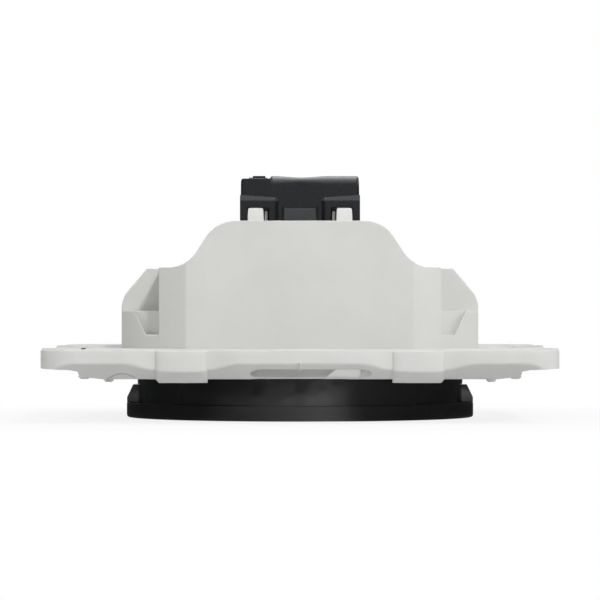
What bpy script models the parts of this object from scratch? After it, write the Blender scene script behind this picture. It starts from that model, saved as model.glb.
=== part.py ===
"""Flush-mounted rotary room controller, lying face down: the dial's face is at Z = 0 and the wall is towards +Z.

The support frame sits on the wall over a round wall box, the stepped rear housing sinks into the box, a cable cover
snaps over the bus terminal on the back wall, and the round dial turns and presses on an encoder inside.
"""

import math

import bmesh
import bpy
from mathutils import Matrix

MM = 0.001

# Clearances
SEAT_GAP = 0.3 * MM  # between pieces that rest on or fit into each other
RUNNING_GAP = 0.3 * MM  # between pieces that move past each other
OVERLAP = 0.4 * MM  # how far joined shapes reach into each other
REACH = 4.0 * MM  # how far a cutter runs past the piece that it cuts
WELD = 0.001 * MM

# Dial
CAP_RADIUS = 24.8 * MM
CAP_THICKNESS = 2.1 * MM
CAP_EDGE = 0.35 * MM
DRUM_RADIUS = 23.25 * MM
DRUM_WALL = 1.5 * MM
DRUM_CLEARANCE = 0.6 * MM
WEB_THICKNESS = 1.0 * MM
HUB_RADIUS = 5.2 * MM
DIAL_RIBS = 6
DIAL_RIB_WIDTH = 1.0 * MM
GRIP_LUG_WIDTH = 6.0 * MM
GRIP_LUG_LENGTH = 2.3 * MM
GRIP_LUG_FLAT = 0.5 * MM
GRIP_LUG_PROUD = 1.42 * MM
GRIP_LUG_BACK_PROUD = 0.5 * MM
POINTER_LENGTH = 7.0 * MM
POINTER_WIDTH = 1.2 * MM
POINTER_DEPTH = 0.8 * MM
POINTER_MARGIN = 1.6 * MM
DIAL_STANDOFF = 3.9 * MM  # back of the cap to the front of the frame
PRESS_TRAVEL = 0.5 * MM

# Support frame
FRAME_WIDTH = 70.4 * MM
FRAME_LENGTH = 70.0 * MM
FRAME_THICKNESS = 4.0 * MM
FRAME_CORNER = 5.0 * MM
PLATEAU_WIDTH = 59.6 * MM  # the thick part, between the thinner side margins
MARGIN_SETBACK = 1.2 * MM
RIM_BEVEL = 2.1 * MM
MARGIN_BEVEL = 0.5 * MM
SIDE_RELIEF = 0.5 * MM
FRAME_LUG_OFFSET = 16.0 * MM
FRAME_LUG_WIDTH = 7.0 * MM
FRAME_LUG_CROWN = 1.1 * MM
FRAME_LUG_PROUD = 0.5 * MM
FRAME_LUG_STEP = 0.2 * MM
SCALLOP_DEPTH = 0.8 * MM
SCALLOP_MARGIN = 0.2 * MM
SCALLOP_RUN = 4.1 * MM
LEDGE_THICKNESS = 1.0 * MM
LEDGE_OPENING_RADIUS = 16.5 * MM
REBATE_DEPTH = 0.5 * MM
FIXING_SPACING = 60.0 * MM
FIXING_SLOT_WIDTH = 3.6 * MM
FIXING_SLOT_SWEEP = math.radians(22)
HEAD_POCKET_LENGTH = 14.6 * MM
HEAD_POCKET_WIDTH = 8.6 * MM
HEAD_POCKET_DEPTH = 1.4 * MM
HEAD_POCKET_CORNER = 1.2 * MM
COUPLING_HOLE_RADIUS = 1.1 * MM
COUPLING_HOLE_OFFSET = 18.0 * MM
MARK_WIDTH = 0.7 * MM
MARK_DEPTH = 0.45 * MM
NUB_RADIUS = 0.8 * MM
NUB_TIP_RADIUS = 0.45 * MM
NUBS = ((26.3 * MM, 28.0 * MM, 0.6 * MM), (29.0 * MM, 28.0 * MM, 0.2 * MM))  # X, Y and height
GAUGE_PAD_RADIUS = 2.76 * MM
GAUGE_PAD_PROUD = 0.25 * MM
GAUGE_PAD = (-24.0 * MM, -31.0 * MM)

# Rear housing
HOUSING_DEPTH = 17.6 * MM  # frame back to the outside of the back wall
HOUSING_RADIUS = 28.5 * MM
HOUSING_WIDTH = 49.9 * MM
HOUSING_LENGTH = 47.6 * MM
HOUSING_WALL = 1.6 * MM
SHOULDER_DEPTH = 11.2 * MM  # frame back to the shoulders
BACK_FLAT_WIDTH = 17.6 * MM
CREST_RADIUS = 4.9 * MM
HOLLOW_RADIUS = 4.5 * MM
SHOULDER_SLOPE = math.radians(57)
BLOCK_WIDTH = 39.0 * MM  # the full-length middle block
WING_LENGTH = 32.0 * MM
WING_CHAMFER_WIDTH = 3.55 * MM
WING_CHAMFER_DROP = 4.2 * MM
WING_ROUND = 4.0 * MM
CORNER_LEDGE_DEPTH = 5.2 * MM  # frame back to the top of the corner posts
POCKET_FLOOR_DEPTH = 1.9 * MM
POCKET_LENGTH = 36.4 * MM  # between the inner walls of opposite pockets
POCKET_FLOOR_WIDTH = 1.7 * MM
POCKET_TOP_WIDTH = 3.1 * MM
BOSS_CIRCLE_RADIUS = 19.0 * MM
BOSS_RADIUS = 2.4 * MM
BOARD_POST_RADIUS = 1.3 * MM
BOARD_POST_OFFSET = (7.5 * MM, 17.5 * MM)

# Carrier plate and its screws
CARRIER_THICKNESS = 1.2 * MM
CARRIER_POST_RADIUS = 1.5 * MM
CARRIER_POST_CIRCLE = 12.5 * MM
SCREW_RADIUS = 1.1 * MM
SCREW_LENGTH = 7.0 * MM
SCREW_HEAD_RADIUS = 1.8 * MM
SCREW_HEAD_HEIGHT = 0.8 * MM
SCREW_SLOT_WIDTH = 0.5 * MM
SCREW_SLOT_DEPTH = 0.4 * MM

# Encoder
ENCODER_SIDE = 12.0 * MM
ENCODER_HEIGHT = 5.6 * MM
ENCODER_FACE = 0.8 * MM
ENCODER_CAVITY_RADIUS = 5.0 * MM
BUSH_RADIUS = 3.8 * MM
BUSH_PROUD = 1.7 * MM
SHAFT_RADIUS = 3.0 * MM
SHAFT_FLAT = 1.5 * MM  # shaft axis to its flat
ROTOR_RADIUS = 4.5 * MM
ROTOR_THICKNESS = 0.8 * MM
DETENT_RADIUS = 4.6 * MM
DETENT_THICKNESS = 0.25 * MM
PLUNGER_RADIUS = 1.6 * MM
PLUNGER_LENGTH = 0.8 * MM
DOME_RADIUS = 2.6 * MM
DOME_HEIGHT = 0.35 * MM

# Boards and their parts
BOARD_THICKNESS = 1.2 * MM
BUS_BOARD_LENGTH = 41.0 * MM
PART_SPACING = 1.0 * MM  # between neighbours on the bus board
HEADER_SIZE = (12.7 * MM, 4.0 * MM)
SENSOR_RADIUS = 1.1 * MM
SENSOR_STANDOFF = 2.2 * MM
SENSOR_LEAD_RADIUS = 0.25 * MM
SENSOR_LEAD_SPACING = 1.2 * MM
SENSOR_EDGE = 2.2 * MM
CHIP_SIDE = 7.0 * MM
CHIP_HEIGHT = 1.0 * MM
CHOKE_RADIUS = 3.4 * MM
CHOKE_HEADROOM = 1.2 * MM
CAPACITOR_RADIUS = 2.3 * MM
CAPACITOR_HEADROOM = 0.6 * MM
CAPACITOR_SPREAD = 5.2 * MM

# Bus terminal, its well and its pins
TERMINAL_WIDTH = 11.8 * MM
TERMINAL_LENGTH = 10.0 * MM
TERMINAL_HEIGHT = 9.6 * MM
TERMINAL_WIRE_RADIUS = 0.7 * MM
TERMINAL_WIRE_DEPTH = 3.5 * MM
TERMINAL_WIRE_SPACING = 2.2 * MM
TERMINAL_WIRES = 4
WELL_DEPTH = 4.8 * MM
WELL_WALL = 1.0 * MM
WELL_FLOOR = 1.0 * MM
PIN_RADIUS = 0.5 * MM
PIN_IN_TERMINAL = 4.0 * MM
PIN_TAIL = 0.6 * MM

# Cable cover
COVER_WIDTH = 16.9 * MM
COVER_LENGTH = 20.4 * MM
COVER_WALL = 1.2 * MM
COVER_HEADROOM = 0.3 * MM
COVER_ROUND = 1.1 * MM
COVER_TRAVEL = 10.0 * MM
PAD_WIDTH = 5.35 * MM
PAD_PROUD = 0.85 * MM
PAD_HEIGHT = 2.65 * MM
LUG_CENTRE = 6.1 * MM
LUG_WIDTH = 2.3 * MM
LUG_THICKNESS = 1.5 * MM
LUG_HEIGHT = 1.8 * MM
TONGUE_WIDTH = 4.8 * MM
TONGUE_HEIGHT = 1.8 * MM
TONGUE_PROUD = 0.55 * MM
TONGUE_SLIT = 0.4 * MM
OUTLET_WIDTH = 5.0 * MM
OUTLET_HEIGHT = 4.3 * MM
STEP_WIDTH = 4.3 * MM
STEP_DROP = 0.55 * MM
STEP_BLOCK = (1.8 * MM, 3.0 * MM, 0.5 * MM)
STEP_BLOCK_X = -5.8 * MM

# Programming button and lamp
BUTTON_Y = 15.5 * MM
BUTTON_RADIUS = 1.6 * MM
BUTTON_FLANGE_RADIUS = 2.2 * MM
BUTTON_FLANGE = 0.5 * MM
BUTTON_PROUD = 0.6 * MM
BUTTON_TRAVEL = 0.25 * MM
SWITCH_SIDE = 5.0 * MM
LAMP_X = 5.0 * MM
LAMP_RADIUS = 1.0 * MM
LAMP_PROUD = 0.3 * MM
LED_SIZE = (1.6 * MM, 1.0 * MM, 0.6 * MM)

# Smoothness of round shapes
WHEEL_SEGMENTS = 72
ROUND_SEGMENTS = 32
SMALL_SEGMENTS = 16
ARC_STEPS = 6
SMOOTH_ANGLE = math.radians(35)

# Levels along Z that follow from the sizes above
CAP_BACK_Z = CAP_THICKNESS
FRAME_FRONT_Z = CAP_BACK_Z + DIAL_STANDOFF
FRAME_BACK_Z = FRAME_FRONT_Z + FRAME_THICKNESS
REBATE_Z = FRAME_BACK_Z - REBATE_DEPTH
LEDGE_Z = REBATE_Z - LEDGE_THICKNESS
CARRIER_BACK_Z = LEDGE_Z - SEAT_GAP
CARRIER_FRONT_Z = CARRIER_BACK_Z - CARRIER_THICKNESS
DRUM_END_Z = CARRIER_FRONT_Z - RUNNING_GAP - PRESS_TRAVEL
DRUM_START_Z = CAP_BACK_Z + SEAT_GAP
RIM_Z = REBATE_Z + SEAT_GAP
HOUSING_BACK_Z = FRAME_BACK_Z + HOUSING_DEPTH
SHOULDER_Z = FRAME_BACK_Z + SHOULDER_DEPTH
CORNER_LEDGE_Z = FRAME_BACK_Z + CORNER_LEDGE_DEPTH
POCKET_FLOOR_Z = FRAME_BACK_Z + POCKET_FLOOR_DEPTH
ROOF_Z = HOUSING_BACK_Z - HOUSING_WALL
ENCODER_FRONT_Z = CARRIER_BACK_Z + SEAT_GAP
ENCODER_BACK_Z = ENCODER_FRONT_Z + ENCODER_HEIGHT
CONTROL_BOARD_Z = ENCODER_BACK_Z + SEAT_GAP
CONTROL_BACK_Z = CONTROL_BOARD_Z + BOARD_THICKNESS
BUSH_FRONT_Z = CARRIER_FRONT_Z - BUSH_PROUD
HUB_END_Z = BUSH_FRONT_Z - RUNNING_GAP - PRESS_TRAVEL
WELL_FLOOR_Z = HOUSING_BACK_Z - WELL_DEPTH
BUS_BACK_Z = WELL_FLOOR_Z - WELL_FLOOR - SEAT_GAP
BUS_BOARD_Z = BUS_BACK_Z - BOARD_THICKNESS
BOARD_SPACE = BUS_BOARD_Z - CONTROL_BACK_Z
TERMINAL_Z = WELL_FLOOR_Z + SEAT_GAP
TERMINAL_TOP_Z = TERMINAL_Z + TERMINAL_HEIGHT
COVER_Z = HOUSING_BACK_Z + SEAT_GAP
COVER_INSIDE_Z = TERMINAL_TOP_Z + COVER_HEADROOM
COVER_TOP_Z = COVER_INSIDE_Z + COVER_WALL
BUTTON_FLANGE_TOP_Z = ROOF_Z - SEAT_GAP
BUTTON_FLANGE_Z = BUTTON_FLANGE_TOP_Z - BUTTON_FLANGE
SWITCH_TOP_Z = BUTTON_FLANGE_Z - BUTTON_TRAVEL - RUNNING_GAP

# Places across the part that follow from the sizes above
BOSS_OFFSET = BOSS_CIRCLE_RADIUS / math.sqrt(2)
CONTROL_BOARD_RADIUS = BOSS_CIRCLE_RADIUS - BOSS_RADIUS - SEAT_GAP
BUS_BOARD_WIDTH = 2 * (BOSS_OFFSET - BOSS_RADIUS - SEAT_GAP)
FIXING_RADIUS = FIXING_SPACING / 2
PIN_X = TERMINAL_WIDTH / 4
COVER_LUG_Y = COVER_LENGTH / 2
CHIP_Y = -(PIN_RADIUS + PART_SPACING + CHIP_SIDE / 2)
HEADER_Y = CHIP_Y - CHIP_SIDE / 2 - PART_SPACING - HEADER_SIZE[1] / 2
CHOKE_Y = PIN_RADIUS + PART_SPACING + CHOKE_RADIUS
CAPACITOR_Y = CHOKE_Y + CHOKE_RADIUS + PART_SPACING + CAPACITOR_RADIUS
CORNERS = ((1, 1), (-1, 1), (-1, -1), (1, -1))


def clear_scene():
    for thing in list(bpy.data.objects):
        bpy.data.objects.remove(thing, do_unlink=True)


def new_collection(name):
    collection = bpy.data.collections.new(name)
    bpy.context.scene.collection.children.link(collection)
    return collection


clear_scene()
PARTS = new_collection("room_controller")
TOOLS = new_collection("cutters_and_unions")


# Outlines in a plane


def arc(centre, radius, start, end, steps=ARC_STEPS):
    """Points on a circle from one angle to another, both ends included."""
    angles = [start + (end - start) * step / steps for step in range(steps + 1)]
    return [(centre[0] + radius * math.cos(a), centre[1] + radius * math.sin(a)) for a in angles]


def rounded_rectangle(half_x, half_y, radius, centre=(0.0, 0.0)):
    points = []
    for quarter, (sign_x, sign_y) in enumerate(CORNERS):
        corner = (centre[0] + sign_x * (half_x - radius), centre[1] + sign_y * (half_y - radius))
        points += arc(corner, radius, quarter * math.pi / 2, (quarter + 1) * math.pi / 2)
    return points


def mirrored_profile(half):
    """A closed profile from its right half, which runs from the top middle outwards and down."""
    return [(-across, up) for across, up in half] + [(across, up) for across, up in reversed(half)]


# Solids


def hidden_tool(name, mesh, location=(0.0, 0.0, 0.0)):
    """A shape that can cut, join or become a piece. It stays out of sight until it is made a piece."""
    mesh.shade_smooth()
    mesh.set_sharp_from_angle(angle=SMOOTH_ANGLE)
    shape = bpy.data.objects.new(name, mesh)
    shape.location = location
    shape.hide_render = True
    shape.display_type = "WIRE"
    TOOLS.objects.link(shape)
    return shape


def solid(name, shape, location):
    mesh = bpy.data.meshes.new(name)
    shape.to_mesh(mesh)
    shape.free()
    return hidden_tool(name, mesh, location)


def box(name, size, base):
    """A box by its size and the middle of its lower face."""
    shape = bmesh.new()
    bmesh.ops.create_cube(shape, size=1.0, matrix=Matrix.Translation((0, 0, 0.5)))
    bmesh.ops.scale(shape, vec=size, verts=shape.verts)
    return solid(name, shape, base)


def cylinder(name, radius, height, base, segments=ROUND_SEGMENTS, end_radius=None):
    """A round bar, or a cone with another radius at its upper end, by the middle of its lower face."""
    shape = bmesh.new()
    bmesh.ops.create_cone(
        shape,
        cap_ends=True,
        segments=segments,
        radius1=radius,
        radius2=radius if end_radius is None else end_radius,
        depth=height,
        matrix=Matrix.Translation((0, 0, height / 2)),
    )
    return solid(name, shape, base)


PRISM_TURNS = {
    "Z": Matrix.Identity(3),
    "Y": Matrix(((1, 0, 0), (0, 0, -1), (0, 1, 0))),
    "X": Matrix(((0, 0, 1), (1, 0, 0), (0, 1, 0))),
}


def prism(name, outline, low, high, along="Z"):
    """A flat outline extruded along an axis: XY outlines along Z, XZ along Y and YZ along X."""
    drawing = bpy.data.curves.new(name, "CURVE")
    drawing.dimensions = "2D"
    drawing.fill_mode = "BOTH"
    drawing.extrude = (high - low) / 2
    spline = drawing.splines.new("POLY")
    spline.points.add(len(outline) - 1)
    for point, (across, up) in zip(spline.points, outline):
        point.co = (across, up, 0.0, 1.0)
    spline.use_cyclic_u = True
    drawn = bpy.data.objects.new(name, drawing)
    TOOLS.objects.link(drawn)
    mesh = bpy.data.meshes.new_from_object(drawn.evaluated_get(bpy.context.evaluated_depsgraph_get()))
    bpy.data.objects.remove(drawn)
    bpy.data.curves.remove(drawing)
    mesh.materials.clear()
    shape = bmesh.new()
    shape.from_mesh(mesh)
    bmesh.ops.remove_doubles(shape, verts=shape.verts, dist=WELD)
    bmesh.ops.recalc_face_normals(shape, faces=shape.faces)
    shape.to_mesh(mesh)
    shape.free()
    middle = (low + high) / 2
    location = (middle if along == "X" else 0.0, middle if along == "Y" else 0.0, middle if along == "Z" else 0.0)
    made = hidden_tool(name, mesh, location)
    made.rotation_euler = PRISM_TURNS[along].to_euler()
    return made


def combine(shape, operation, tools):
    for tool in tools:
        modifier = shape.modifiers.new(f"{operation.lower()} {tool.name}", "BOOLEAN")
        modifier.operation = operation
        modifier.object = tool
    return shape


def cut(shape, *tools):
    return combine(shape, "DIFFERENCE", tools)


def join(shape, *tools):
    return combine(shape, "UNION", tools)


def keep_common(shape, *tools):
    return combine(shape, "INTERSECT", tools)


# Pieces


def material(name, colour, roughness, metallic=0.0):
    made = bpy.data.materials.new(name)
    made.use_nodes = True
    shader = made.node_tree.nodes["Principled BSDF"]
    shader.inputs["Base Color"].default_value = (*colour, 1.0)
    shader.inputs["Roughness"].default_value = roughness
    shader.inputs["Metallic"].default_value = metallic
    made.diffuse_color = (*colour, 1.0)
    return made


def piece(shape, made_of, parent):
    """Makes a shape one of the part's named pieces."""
    TOOLS.objects.unlink(shape)
    PARTS.objects.link(shape)
    shape.hide_render = False
    shape.display_type = "TEXTURED"
    shape.data.materials.clear()
    shape.data.materials.append(made_of)
    shape.parent = parent
    return shape


def axis_empty(name, parent=None):
    empty = bpy.data.objects.new(name, None)
    empty.empty_display_size = CAP_RADIUS
    PARTS.objects.link(empty)
    empty.parent = parent
    return empty


# Support frame


def smooth_step(value):
    """0 before 0, 1 after 1 and an S-curve between."""
    value = min(max(value, 0.0), 1.0)
    return value * value * (3 - 2 * value)


def scallop(along):
    """How far the edge steps back beside a lug, at a distance from the middle of the side."""
    beside = abs(abs(along) - FRAME_LUG_OFFSET) - FRAME_LUG_WIDTH / 2 - SCALLOP_MARGIN
    return SCALLOP_DEPTH * (1 - smooth_step(beside / SCALLOP_RUN))


def side_relief(along):
    """How far the middle of a side edge lies inside the corners."""
    past_lug = abs(along) - FRAME_LUG_OFFSET - FRAME_LUG_WIDTH / 2
    return SIDE_RELIEF * (1 - smooth_step(past_lug / SCALLOP_RUN))


def edge_stations(half):
    """Places along half a side where its outline needs a point, from the middle to the corner's arc."""
    floor = FRAME_LUG_WIDTH / 2 + SCALLOP_MARGIN
    steps = [SCALLOP_RUN * step / ARC_STEPS for step in range(ARC_STEPS + 1)]
    inner = [FRAME_LUG_OFFSET - floor - step for step in reversed(steps)]
    outer = [FRAME_LUG_OFFSET + floor + step for step in steps]
    return [station for station in inner + outer if station < half - FRAME_CORNER]


def frame_outline():
    half_x, half_y = FRAME_WIDTH / 2, FRAME_LENGTH / 2
    corner = (half_x - FRAME_CORNER, half_y - FRAME_CORNER)
    side = [(half_x - side_relief(y) - scallop(y), y) for y in edge_stations(half_y)]
    end = [(x, half_y - scallop(x)) for x in edge_stations(half_x)]
    quarter = side + arc(corner, FRAME_CORNER, 0, math.pi / 2) + end[::-1]
    upper = quarter + [(-x, y) for x, y in reversed(quarter)]
    return upper + [(x, -y) for x, y in reversed(upper)]


def bevel_block():
    """A block whose four sloping sides leave the rim's 45 degree bevels."""
    low, high = FRAME_FRONT_Z - REACH, FRAME_BACK_Z + REACH
    margin_bevel_z = FRAME_FRONT_Z + MARGIN_SETBACK + MARGIN_BEVEL
    rim_bevel_z = FRAME_FRONT_Z + RIM_BEVEL
    shape = bmesh.new()
    bmesh.ops.create_cube(shape, size=1.0)
    for corner in shape.verts:
        level = low if corner.co.z < 0 else high
        corner.co.x = math.copysign(FRAME_WIDTH / 2 + level - margin_bevel_z, corner.co.x)
        corner.co.y = math.copysign(FRAME_LENGTH / 2 + level - rim_bevel_z, corner.co.y)
        corner.co.z = level
    return solid("rim bevels", shape, (0, 0, 0))


def frame_lug(number, sign_x, sign_y):
    """A lug with a crowned outer face, standing in its scallop."""
    chord = FRAME_LUG_WIDTH / 2
    radius = (chord**2 + FRAME_LUG_CROWN**2) / (2 * FRAME_LUG_CROWN)
    half_sweep = math.asin(chord / radius)
    wall = FRAME_LENGTH / 2 - SCALLOP_DEPTH
    centre = (FRAME_LUG_OFFSET, wall + FRAME_LUG_CROWN - radius)
    crown = arc(centre, radius, math.pi / 2 - half_sweep, math.pi / 2 + half_sweep, 2 * ARC_STEPS)
    root = wall - RIM_BEVEL - FRAME_LUG_PROUD
    outline = crown + [(FRAME_LUG_OFFSET - chord, root), (FRAME_LUG_OFFSET + chord, root)]
    placed = [(sign_x * x, sign_y * y) for x, y in outline]
    return prism(f"frame lug {number}", placed, FRAME_FRONT_Z - FRAME_LUG_PROUD, FRAME_BACK_Z - FRAME_LUG_STEP)


def fixing_slot(number, heading):
    """A curved slot for a box screw, on the 60 mm fixing circle."""
    half, sweep = FIXING_SLOT_WIDTH / 2, FIXING_SLOT_SWEEP / 2
    ends = [(FIXING_RADIUS * math.cos(heading + s * sweep), FIXING_RADIUS * math.sin(heading + s * sweep)) for s in (-1, 1)]
    outline = arc((0, 0), FIXING_RADIUS + half, heading - sweep, heading + sweep)
    outline += arc(ends[1], half, heading + sweep, heading + sweep + math.pi)[1:-1]
    outline += arc((0, 0), FIXING_RADIUS - half, heading + sweep, heading - sweep)
    outline += arc(ends[0], half, heading - sweep + math.pi, heading - sweep + 2 * math.pi)[1:-1]
    return prism(f"fixing slot {number}", outline, FRAME_FRONT_Z - REACH, FRAME_BACK_Z + REACH)


def head_pocket(number, heading):
    """The sunk seat for a box screw's head, in the front of the frame."""
    radial, across = HEAD_POCKET_WIDTH / 2, HEAD_POCKET_LENGTH / 2
    on_end = abs(math.sin(heading)) > 0.5
    half_x, half_y = (across, radial) if on_end else (radial, across)
    centre = (FIXING_RADIUS * math.cos(heading), FIXING_RADIUS * math.sin(heading))
    outline = rounded_rectangle(half_x, half_y, HEAD_POCKET_CORNER, centre)
    return prism(f"head pocket {number}", outline, FRAME_FRONT_Z - REACH, FRAME_FRONT_Z + HEAD_POCKET_DEPTH)


def centre_mark(number, sign):
    """A small groove that marks the middle of the rim."""
    edge = sign * FRAME_LENGTH / 2
    half = MARK_WIDTH / 2
    outline = [(-half, edge + sign * MARK_DEPTH), (half, edge + sign * MARK_DEPTH), (0, edge - sign * MARK_DEPTH)]
    return prism(f"centre mark {number}", outline, FRAME_FRONT_Z - REACH, FRAME_FRONT_Z + RIM_BEVEL + MARK_WIDTH)


def build_frame(made_of, parent):
    frame = prism("support_frame", frame_outline(), FRAME_FRONT_Z, FRAME_BACK_Z)
    join(frame, *(frame_lug(number, *signs) for number, signs in enumerate(CORNERS)))
    keep_common(frame, bevel_block())
    margin = FRAME_WIDTH / 2 - PLATEAU_WIDTH / 2 + REACH
    for side in (-1, 1):
        place = (side * (PLATEAU_WIDTH / 2 + margin / 2), 0, FRAME_FRONT_Z - REACH)
        cut(frame, box(f"thin margin {side}", (margin, 2 * FRAME_LENGTH, MARGIN_SETBACK + REACH), place))
    pad_root = FRAME_FRONT_Z + RIM_BEVEL / 2
    pad_z = FRAME_FRONT_Z - GAUGE_PAD_PROUD
    join(frame, cylinder("gauge pad", GAUGE_PAD_RADIUS, pad_root - pad_z, (*GAUGE_PAD, pad_z)))
    for x, y, height in NUBS:
        for number, (sign_x, sign_y) in enumerate(CORNERS):
            place = (sign_x * x, sign_y * y, FRAME_FRONT_Z - height)
            nub_height = height + OVERLAP
            join(frame, cylinder(f"nub {number}", NUB_TIP_RADIUS, nub_height, place, SMALL_SEGMENTS, NUB_RADIUS))
    opening_height = LEDGE_Z - FRAME_FRONT_Z + REACH
    opening_z = FRAME_FRONT_Z - REACH
    cut(
        frame,
        cylinder("dial opening", DRUM_RADIUS + DRUM_CLEARANCE, opening_height, (0, 0, opening_z), WHEEL_SEGMENTS),
        cylinder("ledge opening", LEDGE_OPENING_RADIUS, FRAME_THICKNESS + 2 * REACH, (0, 0, opening_z), WHEEL_SEGMENTS),
        prism("housing rebate", housing_plan(-SEAT_GAP), REBATE_Z, FRAME_BACK_Z + REACH),
    )
    for number in range(4):
        heading = number * math.pi / 2
        cut(frame, head_pocket(number, heading), fixing_slot(number, heading))
    for number, (sign_x, sign_y) in enumerate(CORNERS):
        hole = (sign_x * FIXING_RADIUS, sign_y * COUPLING_HOLE_OFFSET, opening_z)
        way = (sign_x * BOSS_OFFSET, sign_y * BOSS_OFFSET, opening_z)
        length = FRAME_THICKNESS + 2 * REACH
        cut(
            frame,
            cylinder(f"coupling hole {number}", COUPLING_HOLE_RADIUS, length, hole, SMALL_SEGMENTS),
            cylinder(f"frame screw way {number}", SCREW_RADIUS + SEAT_GAP, length, way, SMALL_SEGMENTS),
        )
    cut(frame, *(centre_mark(number, sign) for number, sign in enumerate((-1, 1))))
    piece(frame, made_of, parent)


# Rear housing


def housing_plan(inset):
    """The housing seen from the back: a circle with four flats."""
    radius = HOUSING_RADIUS - inset
    half_x, half_y = HOUSING_WIDTH / 2 - inset, HOUSING_LENGTH / 2 - inset
    first, last = math.acos(half_x / radius), math.asin(half_y / radius)
    quarter = arc((0, 0), radius, first, last)
    upper = quarter + [(-x, y) for x, y in reversed(quarter)]
    return upper + [(-x, -y) for x, y in upper]


def shoulder_curve(inset):
    """Right half of the back wall's profile: the flat, the crest, the slope and the hollow, down to the shoulder."""
    sine, cosine = math.sin(SHOULDER_SLOPE), math.cos(SHOULDER_SLOPE)
    drop = HOUSING_BACK_Z - SHOULDER_Z
    run = (drop - (CREST_RADIUS + HOLLOW_RADIUS) * (1 - cosine)) / sine
    crest = (BACK_FLAT_WIDTH / 2, HOUSING_BACK_Z - CREST_RADIUS)
    reach = CREST_RADIUS + HOLLOW_RADIUS
    hollow = (crest[0] + reach * sine + run * cosine, crest[1] + reach * cosine - run * sine)
    quarter = math.pi / 2
    points = arc(crest, CREST_RADIUS - inset, quarter, quarter - SHOULDER_SLOPE)
    points += arc(hollow, HOLLOW_RADIUS + inset, 3 * quarter - SHOULDER_SLOPE, 3 * quarter)
    return points


def block_profile(inset, floor):
    half = BLOCK_WIDTH / 2 - inset
    points = [point for point in shoulder_curve(inset) if point[0] < half]
    return mirrored_profile(points + [(half, SHOULDER_Z - inset), (half, floor)])


def wing_profile(inset, floor):
    """The wings' profile: a chamfer that runs into the side through an arc."""
    half, top = HOUSING_WIDTH / 2 - inset, SHOULDER_Z - inset
    slope = math.atan2(WING_CHAMFER_DROP, WING_CHAMFER_WIDTH)
    tangent = WING_ROUND * math.tan((math.pi / 2 - slope) / 2)
    centre = (half - WING_ROUND, top - WING_CHAMFER_DROP - tangent)
    points = [(half - WING_CHAMFER_WIDTH, top)]
    points += arc(centre, WING_ROUND, math.pi / 2 - slope, 0)
    return mirrored_profile(points + [(half, floor)])


def housing_solid(name):
    """The housing's outside, filled: block, wings and corner posts inside the plan outline."""
    half_length = HOUSING_LENGTH / 2 + REACH
    outside = prism(f"{name} block", block_profile(0, RIM_Z), -half_length, half_length, "Y")
    wings = prism(f"{name} wings", wing_profile(0, RIM_Z), -WING_LENGTH / 2, WING_LENGTH / 2, "Y")
    posts_size = (HOUSING_WIDTH + REACH, HOUSING_LENGTH + REACH, CORNER_LEDGE_Z - RIM_Z)
    join(outside, wings, box(f"{name} posts", posts_size, (0, 0, RIM_Z)))
    return keep_common(outside, prism(f"{name} plan", housing_plan(0), RIM_Z - REACH, HOUSING_BACK_Z + REACH))


def housing_cavity():
    inside_length = HOUSING_LENGTH / 2 - HOUSING_WALL
    wing_length = WING_LENGTH / 2 - HOUSING_WALL
    floor = RIM_Z - REACH
    cavity = prism("cavity", block_profile(HOUSING_WALL, floor), -inside_length, inside_length, "Y")
    join(cavity, prism("wing cavity", wing_profile(HOUSING_WALL, floor), -wing_length, wing_length, "Y"))
    return keep_common(cavity, prism("cavity plan", housing_plan(HOUSING_WALL), floor - REACH, HOUSING_BACK_Z))


def corner_pocket(number, sign_x, sign_y):
    """The pocket beside the block, open to the outside and widening towards the back."""
    inner = BLOCK_WIDTH / 2
    outline = [
        (inner, POCKET_FLOOR_Z),
        (inner + POCKET_FLOOR_WIDTH, POCKET_FLOOR_Z),
        (inner + POCKET_TOP_WIDTH, CORNER_LEDGE_Z),
        (inner + POCKET_TOP_WIDTH, CORNER_LEDGE_Z + REACH),
        (inner, CORNER_LEDGE_Z + REACH),
    ]
    placed = [(sign_x * x, z) for x, z in outline]
    low, high = POCKET_LENGTH / 2, HOUSING_LENGTH / 2 + REACH
    low, high = (low, high) if sign_y > 0 else (-high, -low)
    return prism(f"corner pocket {number}", placed, low, high, "Y")


def housing_column(name, radius, place, low, limit):
    """A column inside the housing, from a level up into the back wall."""
    column = cylinder(name, radius, HOUSING_BACK_Z - low, (*place, low), SMALL_SEGMENTS)
    return keep_common(column, limit)


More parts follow.
